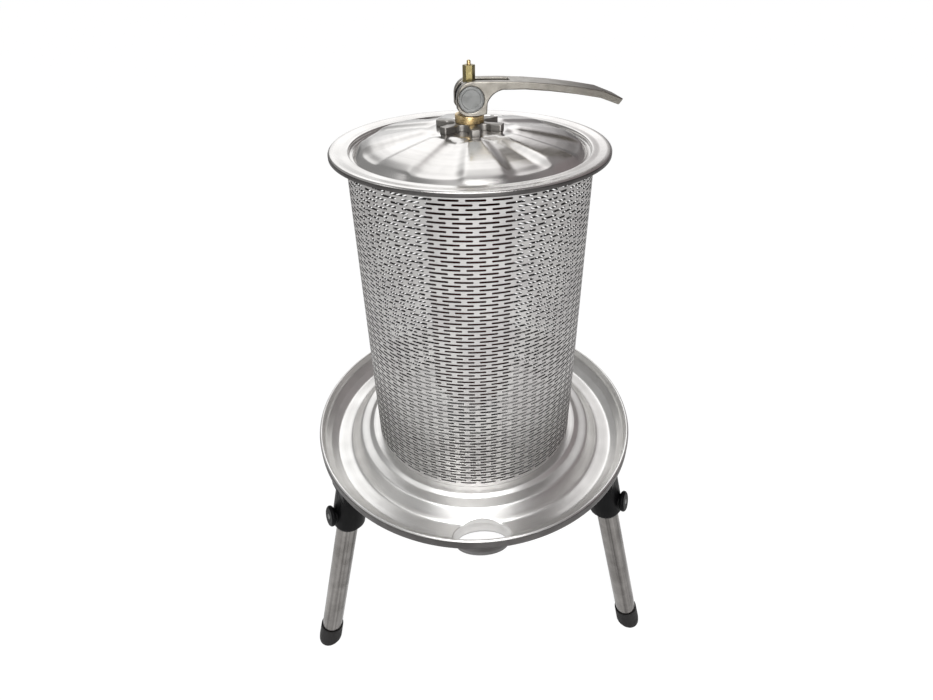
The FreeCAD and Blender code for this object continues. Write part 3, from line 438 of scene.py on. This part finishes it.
# Turned dish: (radius, height) along the profile by arc length s, all round by angle. A window round
# the spout is left out and filled with a patch whose grid runs from the window's edge to the oval,
# straight in (angle, s), then over a small edge and down the funnel, whose oval shrinks below the
# channel's floor
def buildTray():
    line = spaced(roundedLine(tray["profile"]), tray["rowStep"])
    arc = np.concatenate([[0], np.cumsum(np.linalg.norm(np.diff(line, axis=0), axis=1))])
    columns = tray["columns"]
    angle = np.radians(frontAngle + np.arange(columns) * 360 / columns)
    radius, height = line[:, 0], line[:, 1]
    points = np.stack([radius[:, None] * np.cos(angle), radius[:, None] * np.sin(angle),
                       np.broadcast_to(height[:, None], (len(line), columns))], -1).reshape(-1, 3)
    inner = int(np.argmin(abs(radius - tray["windowInner"])))
    outerRadius, outerHeight = tray["windowOuter"]
    outer = int(np.argmin(np.hypot(radius - outerRadius, height - outerHeight)))
    half = tray["windowColumns"]
    faces = gridFaces(len(line), columns)
    row, column = faces[:, 0] // columns, faces[:, 0] % columns
    inWindow = (row >= inner) & (row < outer) & ((column < half) | (column >= columns - half))
    faces = faces[~inWindow]
    # the window's edge, once round
    rows = np.arange(inner, outer)
    sides = np.arange(-half, half)
    edgeRow = np.concatenate([np.full(2 * half, inner), rows, np.full(2 * half, outer), rows[::-1] + 1])
    edgeColumn = np.concatenate([sides, np.full(len(rows), half), -sides, np.full(len(rows), -half)])
    edgeAngle = np.radians(frontAngle + edgeColumn * 360 / columns)
    edgeArc = arc[edgeRow]
    edgeFlat = np.stack([radius[edgeRow] * np.cos(edgeAngle), radius[edgeRow] * np.sin(edgeAngle)], -1)
    lip = tray["spoutEdge"]
    across, deep = tray["spoutAcross"] + lip, tray["spoutDeep"] + lip
    phase = np.arctan2((edgeFlat[:, 1] + tray["spoutCentre"]) / deep, edgeFlat[:, 0] / across)
    ovalX, ovalY = across * np.cos(phase), -tray["spoutCentre"] + deep * np.sin(phase)
    ovalAngle = np.arctan2(ovalY, ovalX)
    ovalArc = np.interp(np.hypot(ovalX, ovalY), radius[:outer + 1], arc[:outer + 1])
    share = np.linspace(0, 1, tray["patchRows"])[:, None]
    patchAngle = edgeAngle + (ovalAngle - edgeAngle) * share
    patchArc = edgeArc + (ovalArc - edgeArc) * share
    patchRadius, patchHeight = np.interp(patchArc, arc, radius), np.interp(patchArc, arc, height)
    patch = np.stack([patchRadius * np.cos(patchAngle), patchRadius * np.sin(patchAngle), patchHeight], -1)
    top = patchHeight[-1]
    # over the edge by a quarter circle, then down the funnel
    turn = np.linspace(0, np.pi / 2, tray["edgeRows"])[1:, None]
    shrink = lip * np.sin(turn)
    edge = np.stack([(across - shrink) * np.cos(phase),
                     -tray["spoutCentre"] + (deep - shrink) * np.sin(phase),
                     top - lip * (1 - np.cos(turn))], -1)
    drop = np.linspace(0, 1, tray["dropRows"])[1:, None]
    floor = np.minimum(top - lip - 1, tray["spoutFloor"])
    straight = np.stack(np.broadcast_arrays(tray["spoutAcross"] * np.cos(phase),
                                            -tray["spoutCentre"] + tray["spoutDeep"] * np.sin(phase),
                                            (top - lip) + (floor - top + lip) * drop), -1)
    taper = tray["spoutTaper"] * drop
    funnel = np.stack([(tray["spoutAcross"] - taper) * np.cos(phase),
                       -tray["spoutCentre"] + (tray["spoutDeep"] - taper) * np.sin(phase),
                       floor + (tray["spoutEnd"] - floor) * drop], -1)
    spout = np.concatenate([patch, edge, straight, funnel])
    spoutFaces = gridFaces(len(spout), len(phase)) + len(points)
    points = np.concatenate([points, spout.reshape(-1, 3)])
    piece = addPiece("juice_tray", points, [faces, spoutFaces], "stand", "polished_stainless", ["tray"],
                     outward=(0, 0, 1), smooth=50, wall=tray["wall"], finish="brushed_stainless",
                     under="painted_shade_stainless")
    # the skirt under the rim takes the same painted shade as the underside
    finishWhere(piece, lambda x, y, z: np.hypot(x, y) > tray["skirtShadeFrom"])


buildTray()
print("tray built")


# Lid: a pressed disc with eight flat fields between eight closed flutes, a groove and a turned rim

lid = {
    "wall": 1.5,
    "profile": [(10.5, 838.5, 0), (45, 838.5, 30), (76.85, 833.75, 40), (108.7, 828.05, 60),
                (136.5, 822.2, 8), (140.5, 818.5, 3), (145.5, 813.5, 2), (149.3, 813.5, 1.2),
                (150.5, 814.7, 1), (150.5, 819.5, 2.2), (160, 819.5, 15), (169, 821, 10), (173, 821, 1.8),
                (175, 819, 1.8), (175, 815, 0)],
    "skirtShadeFrom": 174.4,
    "fieldRise": 3.0,
    "fieldFrom": (47.0, 62.0),
    "fieldTo": (121.0, 143.0),
    "fluteTurn": -63.0,
    "fluteCount": 8,
    "fluteWidth": 24.0,
    "fluteFrom": 51.0,
    "fluteTo": 140.0,
    "fluteDepth": 4.4,
    "fluteReach": 15.0,
    "fluteSoft": 4.0,
    "fluteEdge": 1.6,
    "columns": 480,
    "rowStep": 2.6,
}


# Turned disc whose height is the profile's, plus the fields' rise times a smooth step up near the
# hub and a smooth step down near the groove, less the flutes. A flute is as deep as the sine of its
# distance to its nearest edge, up to a reach, and both its corners and its edge are softened
def buildLid():
    line = spaced(roundedLine(lid["profile"]), lid["rowStep"])
    columns = lid["columns"]
    degrees = np.arange(columns) * 360 / columns + lid["fluteTurn"]
    radius = line[:, 0, None]
    rise = 1
    for start, stop in (lid["fieldFrom"], lid["fieldTo"][::-1]):
        step = np.clip((radius - start) / (stop - start), 0, 1)
        rise = rise * step * step * (3 - 2 * step)
    pitch = 360 / lid["fluteCount"]
    away = abs((degrees - lid["fluteTurn"] + pitch / 2) % pitch - pitch / 2)[None]
    sideways = np.radians(lid["fluteWidth"] / 2 - away) * radius
    lengthways = np.minimum(radius - lid["fluteFrom"], lid["fluteTo"] - radius)
    soft, edge = lid["fluteSoft"], lid["fluteEdge"]
    inside = -soft * np.logaddexp(-sideways / soft, -lengthways / soft) + soft * math.log(2)
    inside = edge * np.logaddexp(0, inside / edge)
    reach = np.minimum(np.radians(lid["fluteWidth"] / 2) * radius, lid["fluteReach"])
    flute = lid["fluteDepth"] * np.sin(np.pi / 2 * np.clip(inside / reach, 0, 1))
    height = line[:, 1, None] + lid["fieldRise"] * rise - flute * (rise > 0)
    angle = np.radians(degrees)
    points = np.stack([radius * np.cos(angle), radius * np.sin(angle), height], -1)
    piece = addPiece("lid_disc", points.reshape(-1, 3), [gridFaces(len(line), columns)], "lid",
                     "polished_stainless", ["lid"], outward=(0, 0, 1), smooth=50, wall=lid["wall"],
                     under="painted_shade_stainless")
    # the skirt under the rim takes the painted shade of the underside
    finishWhere(piece, lambda x, y, z: np.hypot(x, y) > lid["skirtShadeFrom"])


buildLid()
print("lid built")


# Basket: a slotted cylinder

basket = {
    "radius": 155.0,
    "wall": 0.8,
    "bottom": 368.0,
    "top": 818.0,
    "firstSlot": 376.6,
    "rowPitch": 5.15,
    "rows": 85,
    "slotsRound": 34,
    "slotHeight": 2.5,
    "slotShare": 0.73,
    "slotTip": 0.9,
    "turn": -5.7,
    "rimInset": 0.4,
    "rimBand": 1.0,
    "shadeMargin": 0.15,
}


# Two skins and the slots' walls. Columns repeat four times a slot pitch, at the ends of the slots
# of one row and of the next row, which is moved by half a pitch. Between rows the skin is a plain
# band, and in a row it is the bridges between slots, whose ends come to a blunt point
def buildBasket():
    count = basket["slotsRound"]
    pitch = 360 / count
    reach = basket["slotShare"] * pitch / 2
    offsets = np.array([-reach, reach - pitch / 2, pitch / 2 - reach, reach])
    degrees = (np.arange(count)[:, None] * pitch + offsets).reshape(-1) + basket["turn"] + frontAngle
    columns = 4 * count
    middles = basket["firstSlot"] + np.arange(basket["rows"]) * basket["rowPitch"]
    low, high = middles - basket["slotHeight"] / 2, middles + basket["slotHeight"] / 2
    bottom, top = basket["bottom"] + basket["rimInset"], basket["top"] - basket["rimInset"]
    heights = np.concatenate([[bottom], np.stack([low, high], -1).reshape(-1),
                              [middles[-1] + basket["rowPitch"]], [top]])
    angle = np.radians(degrees)
    skins = []
    for radius in (basket["radius"], basket["radius"] - basket["wall"]):
        flat = np.stack([radius * np.cos(angle), radius * np.sin(angle)], -1)
        levels = np.broadcast_to(heights[:, None, None], (len(heights), columns, 1))
        skins.append(np.concatenate([np.broadcast_to(flat, (len(heights), columns, 2)), levels], -1))
    # blunt points of the slots, two for each slot, at mid height
    shift = np.where(np.arange(basket["rows"]) % 2 == 0, 0, pitch / 2)
    tipReach = reach + math.degrees(basket["slotTip"] / basket["radius"])
    centres = np.arange(count)[None, :] * pitch + shift[:, None] + basket["turn"] + frontAngle
    tips = []
    for radius in (basket["radius"], basket["radius"] - basket["wall"]):
        for side in (-1, 1):
            a = np.radians(centres + side * tipReach)
            tips.append(np.stack([radius * np.cos(a), radius * np.sin(a),
                                  np.broadcast_to(middles[:, None], a.shape)], -1))
    points = np.concatenate([p.reshape(-1, 3) for p in skins + tips])
    perSkin = len(heights) * columns
    perTip = basket["rows"] * count
    bands = gridFaces(len(heights), columns)
    bandRow = bands[:, 0] // columns
    plain = (bandRow % 2 == 0) | (bandRow >= 2 * basket["rows"])
    bands = bands[plain]
    faces = [bands, bands[:, ::-1] + perSkin]
    row = np.repeat(np.arange(basket["rows"]), count)
    slot = np.tile(np.arange(count), basket["rows"])
    first = (4 * slot + 2 * (row % 2)) % columns  # column of a slot's left end, on odd rows half a pitch on
    below, above = (2 * row + 1) * columns, (2 * row + 2) * columns
    tipStart = 2 * perSkin
    leftTip, rightTip = tipStart + row * count + slot, tipStart + perTip + row * count + slot
    nextLeft = tipStart + row * count + (slot + 1) % count
    right, nextFirst = (first + 3) % columns, (first + 4) % columns
    bridge = np.stack([below + right, below + nextFirst, nextLeft, above + nextFirst, above + right,
                       rightTip], -1)
    innerBridge = bridge + np.array([perSkin, perSkin, 2 * perTip, perSkin, perSkin, 2 * perTip])
    faces += [bridge, innerBridge[:, ::-1]]
    for part in range(3):  # floor and roof of each slot
        a, b = (first + part) % columns, (first + part + 1) % columns
        for edge, turned in ((below, True), (above, False)):
            quad = np.stack([edge + a, edge + b, edge + b + perSkin, edge + a + perSkin], -1)
            faces.append(quad[:, ::-1] if turned else quad)
    ends = [(below + first, leftTip, False), (above + first, leftTip, True),
            (below + right, rightTip, True), (above + right, rightTip, False)]
    for corner, tip, turned in ends:
        quad = np.stack([corner, tip, tip + 2 * perTip, corner + perSkin], -1)
        faces.append(quad[:, ::-1] if turned else quad)
    # the two rims
    rim = np.arange(columns)
    following = (rim + 1) % columns
    last = (len(heights) - 1) * columns
    faces.append(np.stack([rim, rim + perSkin, following + perSkin, following], -1))
    faces.append(np.stack([last + rim, last + following, last + following + perSkin,
                           last + rim + perSkin], -1))
    piece = addPiece("slotted_basket", points, faces, "basket", "satin_stainless", ["basket"], smooth=40)
    piece.data.materials.append(materials["slot_shade_stainless"])
    piece.data.materials.append(materials["painted_shade_stainless"])
    # the slots' walls are painted near black and the inside dark: painted shade in the slots and inside the
    # basket
    margin = basket["shadeMargin"]
    insideShadeBelow = basket["radius"] - (1 - margin) * basket["wall"]
    slotShadeBelow = basket["radius"] - margin * basket["wall"]
    low, high = basket["bottom"] + basket["rimBand"], basket["top"] - basket["rimBand"]
    finishWhere(piece, lambda x, y, z: ((z > low) & (z < high)) * (1 * (np.hypot(x, y) < slotShadeBelow)
                                                                  + (np.hypot(x, y) < insideShadeBelow)))


buildBasket()
print("basket built")


# Closure: star, ring, lever, pivot and vent

star = {"bottom": 838.5, "top": 846.5, "flats": 86.0, "armWidth": 12.0, "tipRadius": 2.2,
        "scallop": 9.0, "circle": 28.0, "bore": 9.6, "turn": -82.0, "fillet": 1.3,
        "throatPoints": 13, "loopStep": 2.0}


# Six scallops round a centre: each is a half circle on its pitch circle that opens in two straight
# runs to the flat tips beside it, and the loop's corners are rounded
def buildStar():
    reach = star["flats"] / math.sqrt(3)
    mouth = (reach - star["armWidth"]) / 2 * math.cos(math.pi / 6)
    tip = reach - mouth * math.tan(math.pi / 6)
    turn = np.linspace(math.pi * 1.5, math.pi * 0.5, star["throatPoints"])
    throat = [(star["circle"] + star["scallop"] * math.cos(a), star["scallop"] * math.sin(a), 0)
              for a in turn]
    scallop = [(tip, -mouth, star["tipRadius"]), *throat, (tip, mouth, star["tipRadius"])]
    corners = []
    for k in range(6):
        a = math.radians(star["turn"] + 30 + 60 * k)
        corners += [(x * math.cos(a) - y * math.sin(a), x * math.sin(a) + y * math.cos(a), r)
                    for x, y, r in scallop]
    loop = spaced(roundedLine(corners, closed=True), star["loopStep"], closed=True)
    points, rows = platePoints(loop, star["bottom"], star["top"], star["fillet"], star["bore"])
    addPiece("star_plate", points, [gridFaces(rows, len(loop), closeRows=True)], "star", "cast_aluminium",
             ["pressure_star"], finish="dark_cast_aluminium")


buildStar()

ring = {"bore": 9.6, "radius": 18.0, "bottom": 846.5, "top": 856.0}
addTurned("brass_ring", [(ring["bore"], ring["bottom"], 0.4), (ring["radius"], ring["bottom"], 0.8),
                         (ring["radius"], ring["top"], 1.2), (ring["bore"], ring["top"], 0.6)],
          "ring", "bare_brass", ["thrust_ring"], steps=96, closed=True)
dressNode("cam_lever", "lever", "cast_aluminium", 1.4)
dressNode("barrel_nut", "nut", "zinc_steel", 0.5)
pivot = {"height": 876.0, "turn": 5.0,
         "face": [(0, 18.4, 0), (0, 18.9, 0), (10.6, 18.9, 0.3), (11.6, 19.85, 0.4), (14.3, 19.85, 0.5),
                  (14.8, 18.4, 0)]}
leverTurn = math.radians(pivot["turn"])
pivotAxis = np.array([math.sin(leverTurn), -math.cos(leverTurn), 0])
for side, name in ((1, "pivot_face_near"), (-1, "pivot_face_far")):
    addTurned(name, pivot["face"], "nut", "zinc_steel", steps=72, origin=(0, 0, pivot["height"]),
              axis=side * pivotAxis, side=(0, 0, 1))
dressNode("vent_valve", "stand", "bare_brass", 0.5, "tarnished_brass")
pin = {"radius": 2.4, "tipRadius": 1.2, "bottom": 906.0, "shoulder": 916.2, "top": 917.4}
addTurned("vent_pin_tip", [(0, pin["bottom"], 0), (pin["radius"], pin["bottom"], 0.2),
                           (pin["radius"], pin["shoulder"], 0.9), (pin["tipRadius"], pin["top"], 0.5),
                           (0, pin["top"], 0)], "vent_pin", "bare_brass", ["vent_pin"], steps=32)
print("closure built")


# Legs, feet, sockets and clamp knobs

leg = {"lean": 14.6, "footOut": 305.0, "tubeRadius": 16.5, "tubeWall": 2.0, "tubeFrom": 10.0,
       "tubeTo": 335.0, "capRadius": 18.8, "capFrom": -8.0, "capWidest": 3.0, "capTo": 32.0,
       "capSlack": 0.1, "tubeGap": 0.2, "capColumns": 72, "capStep": 3.0}


# The leg's own axes: its origin on the floor, up along the tube and out square to it
def legFrame(azimuth):
    a, lean = math.radians(azimuth), math.radians(leg["lean"])
    radial, upright = np.array([math.cos(a), math.sin(a), 0]), np.array([0, 0, 1.0])
    up = -math.sin(lean) * radial + math.cos(lean) * upright
    out = math.cos(lean) * radial + math.sin(lean) * upright
    return radial * leg["footOut"], up, out


def buildLeg(name, azimuth):
    origin, up, out = legFrame(azimuth)
    r, w = leg["tubeRadius"], leg["tubeWall"]
    addTurned(f"steel_leg_{name}", [(r - w, leg["tubeFrom"], 0.3), (r, leg["tubeFrom"], 0.6),
                                    (r, leg["tubeTo"], 0.6), (r - w, leg["tubeTo"], 0.3)],
              f"leg_{name}", "steel_tube", [f"leg_tube_{name}"], steps=96, closed=True,
              origin=origin, axis=up, side=out)
    # rubber cap: a turned cup, flattened where it would go under the floor
    inside, sole = r + leg["capSlack"], leg["tubeFrom"] - leg["tubeGap"]
    cup = [(0, leg["capFrom"], 0), (leg["capRadius"] - 1, leg["capFrom"], 5),
           (leg["capRadius"], leg["capWidest"], 20), (leg["capRadius"] - 0.4, leg["capTo"], 1.6),
           (inside, leg["capTo"], 0.5), (inside, sole, 0.5), (0, sole, 0)]
    profile = spaced(roundedLine(cup), leg["capStep"])
    columns = leg["capColumns"]
    points = turnedGrid(profile, columns, origin, up, out)
    points[:, 2] = np.maximum(points[:, 2], 0)
    addPiece(f"foot_cap_{name}", points, [gridFaces(len(profile), columns)], f"leg_{name}", "black_rubber",
             [f"rubber_foot_{name}"], smooth=50)
    dressNode(f"leg_socket_{name}", "stand", "black_plastic", 2.2)
    dressNode(f"clamp_screw_{name}", f"screw_{name}", "zinc_steel", 0.3)
    dressNode(f"clamp_knob_{name}", f"knob_{name}", "black_plastic", 1.4)


for legName, azimuth in (("left", -150), ("right", -30), ("rear", 90)):
    buildLeg(legName, azimuth)
print("legs built")


# Everything that is hidden at rest keeps its solid, with broken edges where it can be seen

dressed = {
    "column_pipe": ("stand", "zinc_steel", 0.8),
    "column_head": ("stand", "satin_stainless", 0.5),
    "column_nut": ("stand", "zinc_steel", 0.8),
    "base_plate": ("stand", "zinc_steel", 0.6),
    "socket_bolts": ("stand", "satin_stainless", 0.6),
    "socket_nuts": ("stand", "zinc_steel", 0.4),
    "lower_clamp": ("stand", "satin_stainless", 0.5),
    "upper_clamp": ("stand", "satin_stainless", 0.5),
    "water_tee": ("stand", "nickel_brass", 1.0),
    "inlet_valve_body": ("stand", "nickel_brass", 0.8),
    "drain_valve_body": ("stand", "nickel_brass", 0.8),
    "hose_coupling": ("stand", "bare_brass", 0.8),
    "inlet_handle": ("inlet_tap", "coated_handle", 1.0),
    "drain_handle": ("drain_tap", "coated_handle", 1.0),
    "inlet_handle_nut": ("inlet_tap", "zinc_steel", 0.4),
    "drain_handle_nut": ("drain_tap", "zinc_steel", 0.4),
    "inlet_stem": ("inlet_tap", "nickel_brass", 0.3),
    "drain_stem": ("drain_tap", "nickel_brass", 0.3),
}
for node, (body, slotName, bevel) in dressed.items():
    dressNode(node, body, slotName, bevel)
plainNodes = {"membrane": "red_rubber", "column_gasket": "black_rubber", "coupling_seal": "black_rubber",
              "lid_grommet": "black_rubber", "inlet_ball": "nickel_brass", "drain_ball": "nickel_brass"}
for node, slotName in plainNodes.items():
    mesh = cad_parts[node].data
    mesh.materials.clear()
    mesh.materials.append(materials[slotName])
print("fittings dressed")


# Floor, light and camera

# A shadow is its share and the floor's light level. A part of the sky is where its step along an axis
# starts and stops, and its level before and after the step
studio = {
    "floorSize": 80.0,
    "floorColour": "#e8e8e6",
    "seenShadow": (0.12, 0.5),
    "mirroredShadow": (0.85, 1.08),
    "skyOverhead": ("Z", 0.78, 0.97, 1.65, 0.85),
    "skyHorizon": ("Z", 0.12, 0.36, 0.5, 1.0),
    "skyFront": ("Y", -0.8, 0.2, 0.5, 1.0),
    "skyRight": ("X", 0.15, 0.34, 1.0, 0.2),
    "skyLeft": ("X", -0.42, -0.18, 0.24, 1.0),
    "tintFrom": 0.1,
    "tintTo": 0.9,
    "rightTint": "#f3e4e6",
    "aimHeight": 0.6,
}


# A plain floor. Light that bounces on sees the lit paint. The camera and metal see white, from which
# the object's shadow takes a share: a glow of 1 less the share times the floor's light level, plus
# paint of that share, which is lit
def buildFloor():
    half = studio["floorSize"] / 2
    mesh = bpy.data.meshes.new("floor")
    corners = [(-half, -half, 0), (half, -half, 0), (half, half, 0), (-half, half, 0)]
    mesh.from_pydata(corners, [], [(0, 1, 2, 3)])
    floor = bpy.data.objects.new("floor", mesh)
    bpy.context.scene.collection.objects.link(floor)
    material = bpy.data.materials.new("pale_floor")
    material.use_nodes = True
    tree = material.node_tree
    tree.nodes.clear()
    path = addNode(tree, "ShaderNodeLightPath")
    mirror = addNode(tree, "ShaderNodeMath", {"operation": "ADD", "use_clamp": True},
                     links={0: path.outputs["Is Glossy Ray"], 1: path.outputs["Is Transmission Ray"]})
    shader = addNode(tree, "ShaderNodeBsdfDiffuse", values={"Color": linearColour(studio["floorColour"])})
    shader = shader.outputs["BSDF"]
    for (share, level), seen in ((studio["mirroredShadow"], mirror.outputs["Value"]),
                                 (studio["seenShadow"], path.outputs["Is Camera Ray"])):
        lit = addNode(tree, "ShaderNodeBsdfDiffuse", values={"Color": (share, share, share, 1)})
        glow = addNode(tree, "ShaderNodeEmission", values={"Strength": 1 - share * level})
        white = addNode(tree, "ShaderNodeAddShader",
                        links={0: lit.outputs["BSDF"], 1: glow.outputs["Emission"]})
        shader = addNode(tree, "ShaderNodeMixShader",
                         links={0: seen, 1: shader, 2: white.outputs["Shader"]})
        shader = shader.outputs["Shader"]
    addNode(tree, "ShaderNodeOutputMaterial", links={"Surface": shader})
    mesh.materials.append(material)


# A white backdrop behind the press: the level falls smoothly overhead, near the horizon, towards the
# camera's side and to the left and right, where the room is dim. The camera itself sees plain white
def buildSky():
    world = bpy.data.worlds.new("studio")
    bpy.context.scene.world = world
    world.use_nodes = True
    tree = world.node_tree
    tree.nodes.clear()
    direction = addNode(tree, "ShaderNodeTexCoord").outputs["Generated"]
    parts = addNode(tree, "ShaderNodeSeparateXYZ", links={"Vector": direction})
    level = None
    for key in ("skyOverhead", "skyHorizon", "skyFront", "skyRight", "skyLeft"):
        axis, start, stop, first, last = studio[key]
        part = addNode(tree, "ShaderNodeMapRange", {"interpolation_type": "SMOOTHSTEP"},
                       {"From Min": start, "From Max": stop, "To Min": first, "To Max": last},
                       {"Value": parts.outputs[axis]}).outputs["Result"]
        if level:
            part = addNode(tree, "ShaderNodeMath", {"operation": "MULTIPLY"}, links={0: level, 1: part})
            part = part.outputs["Value"]
        level = part
    right = addNode(tree, "ShaderNodeMapRange",
                    values={"From Min": studio["tintFrom"], "From Max": studio["tintTo"]},
                    links={"Value": parts.outputs["X"]})
    tint = addNode(tree, "ShaderNodeMix", {"data_type": "RGBA"},
                   {6: (1, 1, 1, 1), 7: linearColour(studio["rightTint"])}, {0: right.outputs["Result"]})
    seen = addNode(tree, "ShaderNodeLightPath").outputs["Is Camera Ray"]
    tent = addNode(tree, "ShaderNodeBackground", links={"Color": tint.outputs[2], "Strength": level})
    white = addNode(tree, "ShaderNodeBackground", values={"Color": (1, 1, 1, 1)})
    sky = addNode(tree, "ShaderNodeMixShader",
                  links={0: seen, 1: tent.outputs["Background"], 2: white.outputs["Background"]})
    addNode(tree, "ShaderNodeOutputWorld", links={"Surface": sky.outputs["Shader"]})


lamps = {
    "keyLamp": {"place": (-0.1, -1.25, 2.1), "size": (1.6, 1.0), "watts": 28},
    "frontLamp": {"place": (0.1, -1.9, 0.85), "size": (1.2, 0.5), "watts": 9},
    "sideLamp": {"place": (-1.6, -0.4, 1.8), "size": (0.7, 1.1), "watts": 2.5},
}


def buildLamps():
    for name, lamp in lamps.items():
        data = bpy.data.lights.new(name, "AREA")
        data.shape = "RECTANGLE"
        data.size, data.size_y = lamp["size"]
        data.energy = lamp["watts"]
        light = bpy.data.objects.new(name, data)
        light.location = lamp["place"]
        aim = Vector((0, 0, studio["aimHeight"])) - light.location
        light.rotation_euler = aim.to_track_quat("-Z", "Y").to_euler()
        bpy.context.scene.collection.objects.link(light)


camera = {"distance": 691.8, "height": 1017.9, "azimuth": -2.26, "aside": -0.30, "down": 30.77,
          "roll": -0.72, "focalPixels": 553.8, "centre": (474.6, 289.0), "frame": (933, 700),
          "sensorMm": 36}


# A pinhole fitted to the photograph: place from azimuth, distance and height, view line turned
# aside and down, rolled about itself, and the frame shifted to the fitted centre
def buildCamera():
    width, height = camera["frame"]
    azimuth = math.radians(camera["azimuth"])
    heading = math.radians(camera["azimuth"] + camera["aside"])
    down, roll = math.radians(camera["down"]), math.radians(camera["roll"])
    data = bpy.data.cameras.new("camera")
    data.sensor_fit = "HORIZONTAL"
    data.sensor_width = camera["sensorMm"]
    data.lens = camera["focalPixels"] / width * data.sensor_width
    data.shift_x = (width / 2 - camera["centre"][0]) / width
    data.shift_y = (camera["centre"][1] - height / 2) / width
    view = bpy.data.objects.new("camera", data)
    bpy.context.scene.collection.objects.link(view)
    ahead = Vector((-math.sin(heading) * math.cos(down), math.cos(heading) * math.cos(down),
                    -math.sin(down)))
    right = Vector((math.cos(heading), math.sin(heading), 0))
    turn = Matrix((right, right.cross(ahead), -ahead)).transposed() @ Matrix.Rotation(roll, 3, "Z")
    place = Vector((camera["distance"] * math.sin(azimuth), -camera["distance"] * math.cos(azimuth),
                    camera["height"])) * mm
    view.matrix_world = Matrix.Translation(place) @ turn.to_4x4()
    bpy.context.scene.camera = view


buildFloor()
buildSky()
buildLamps()
buildCamera()
bpy.context.scene.view_settings.view_transform = "Standard"
print("studio ready")
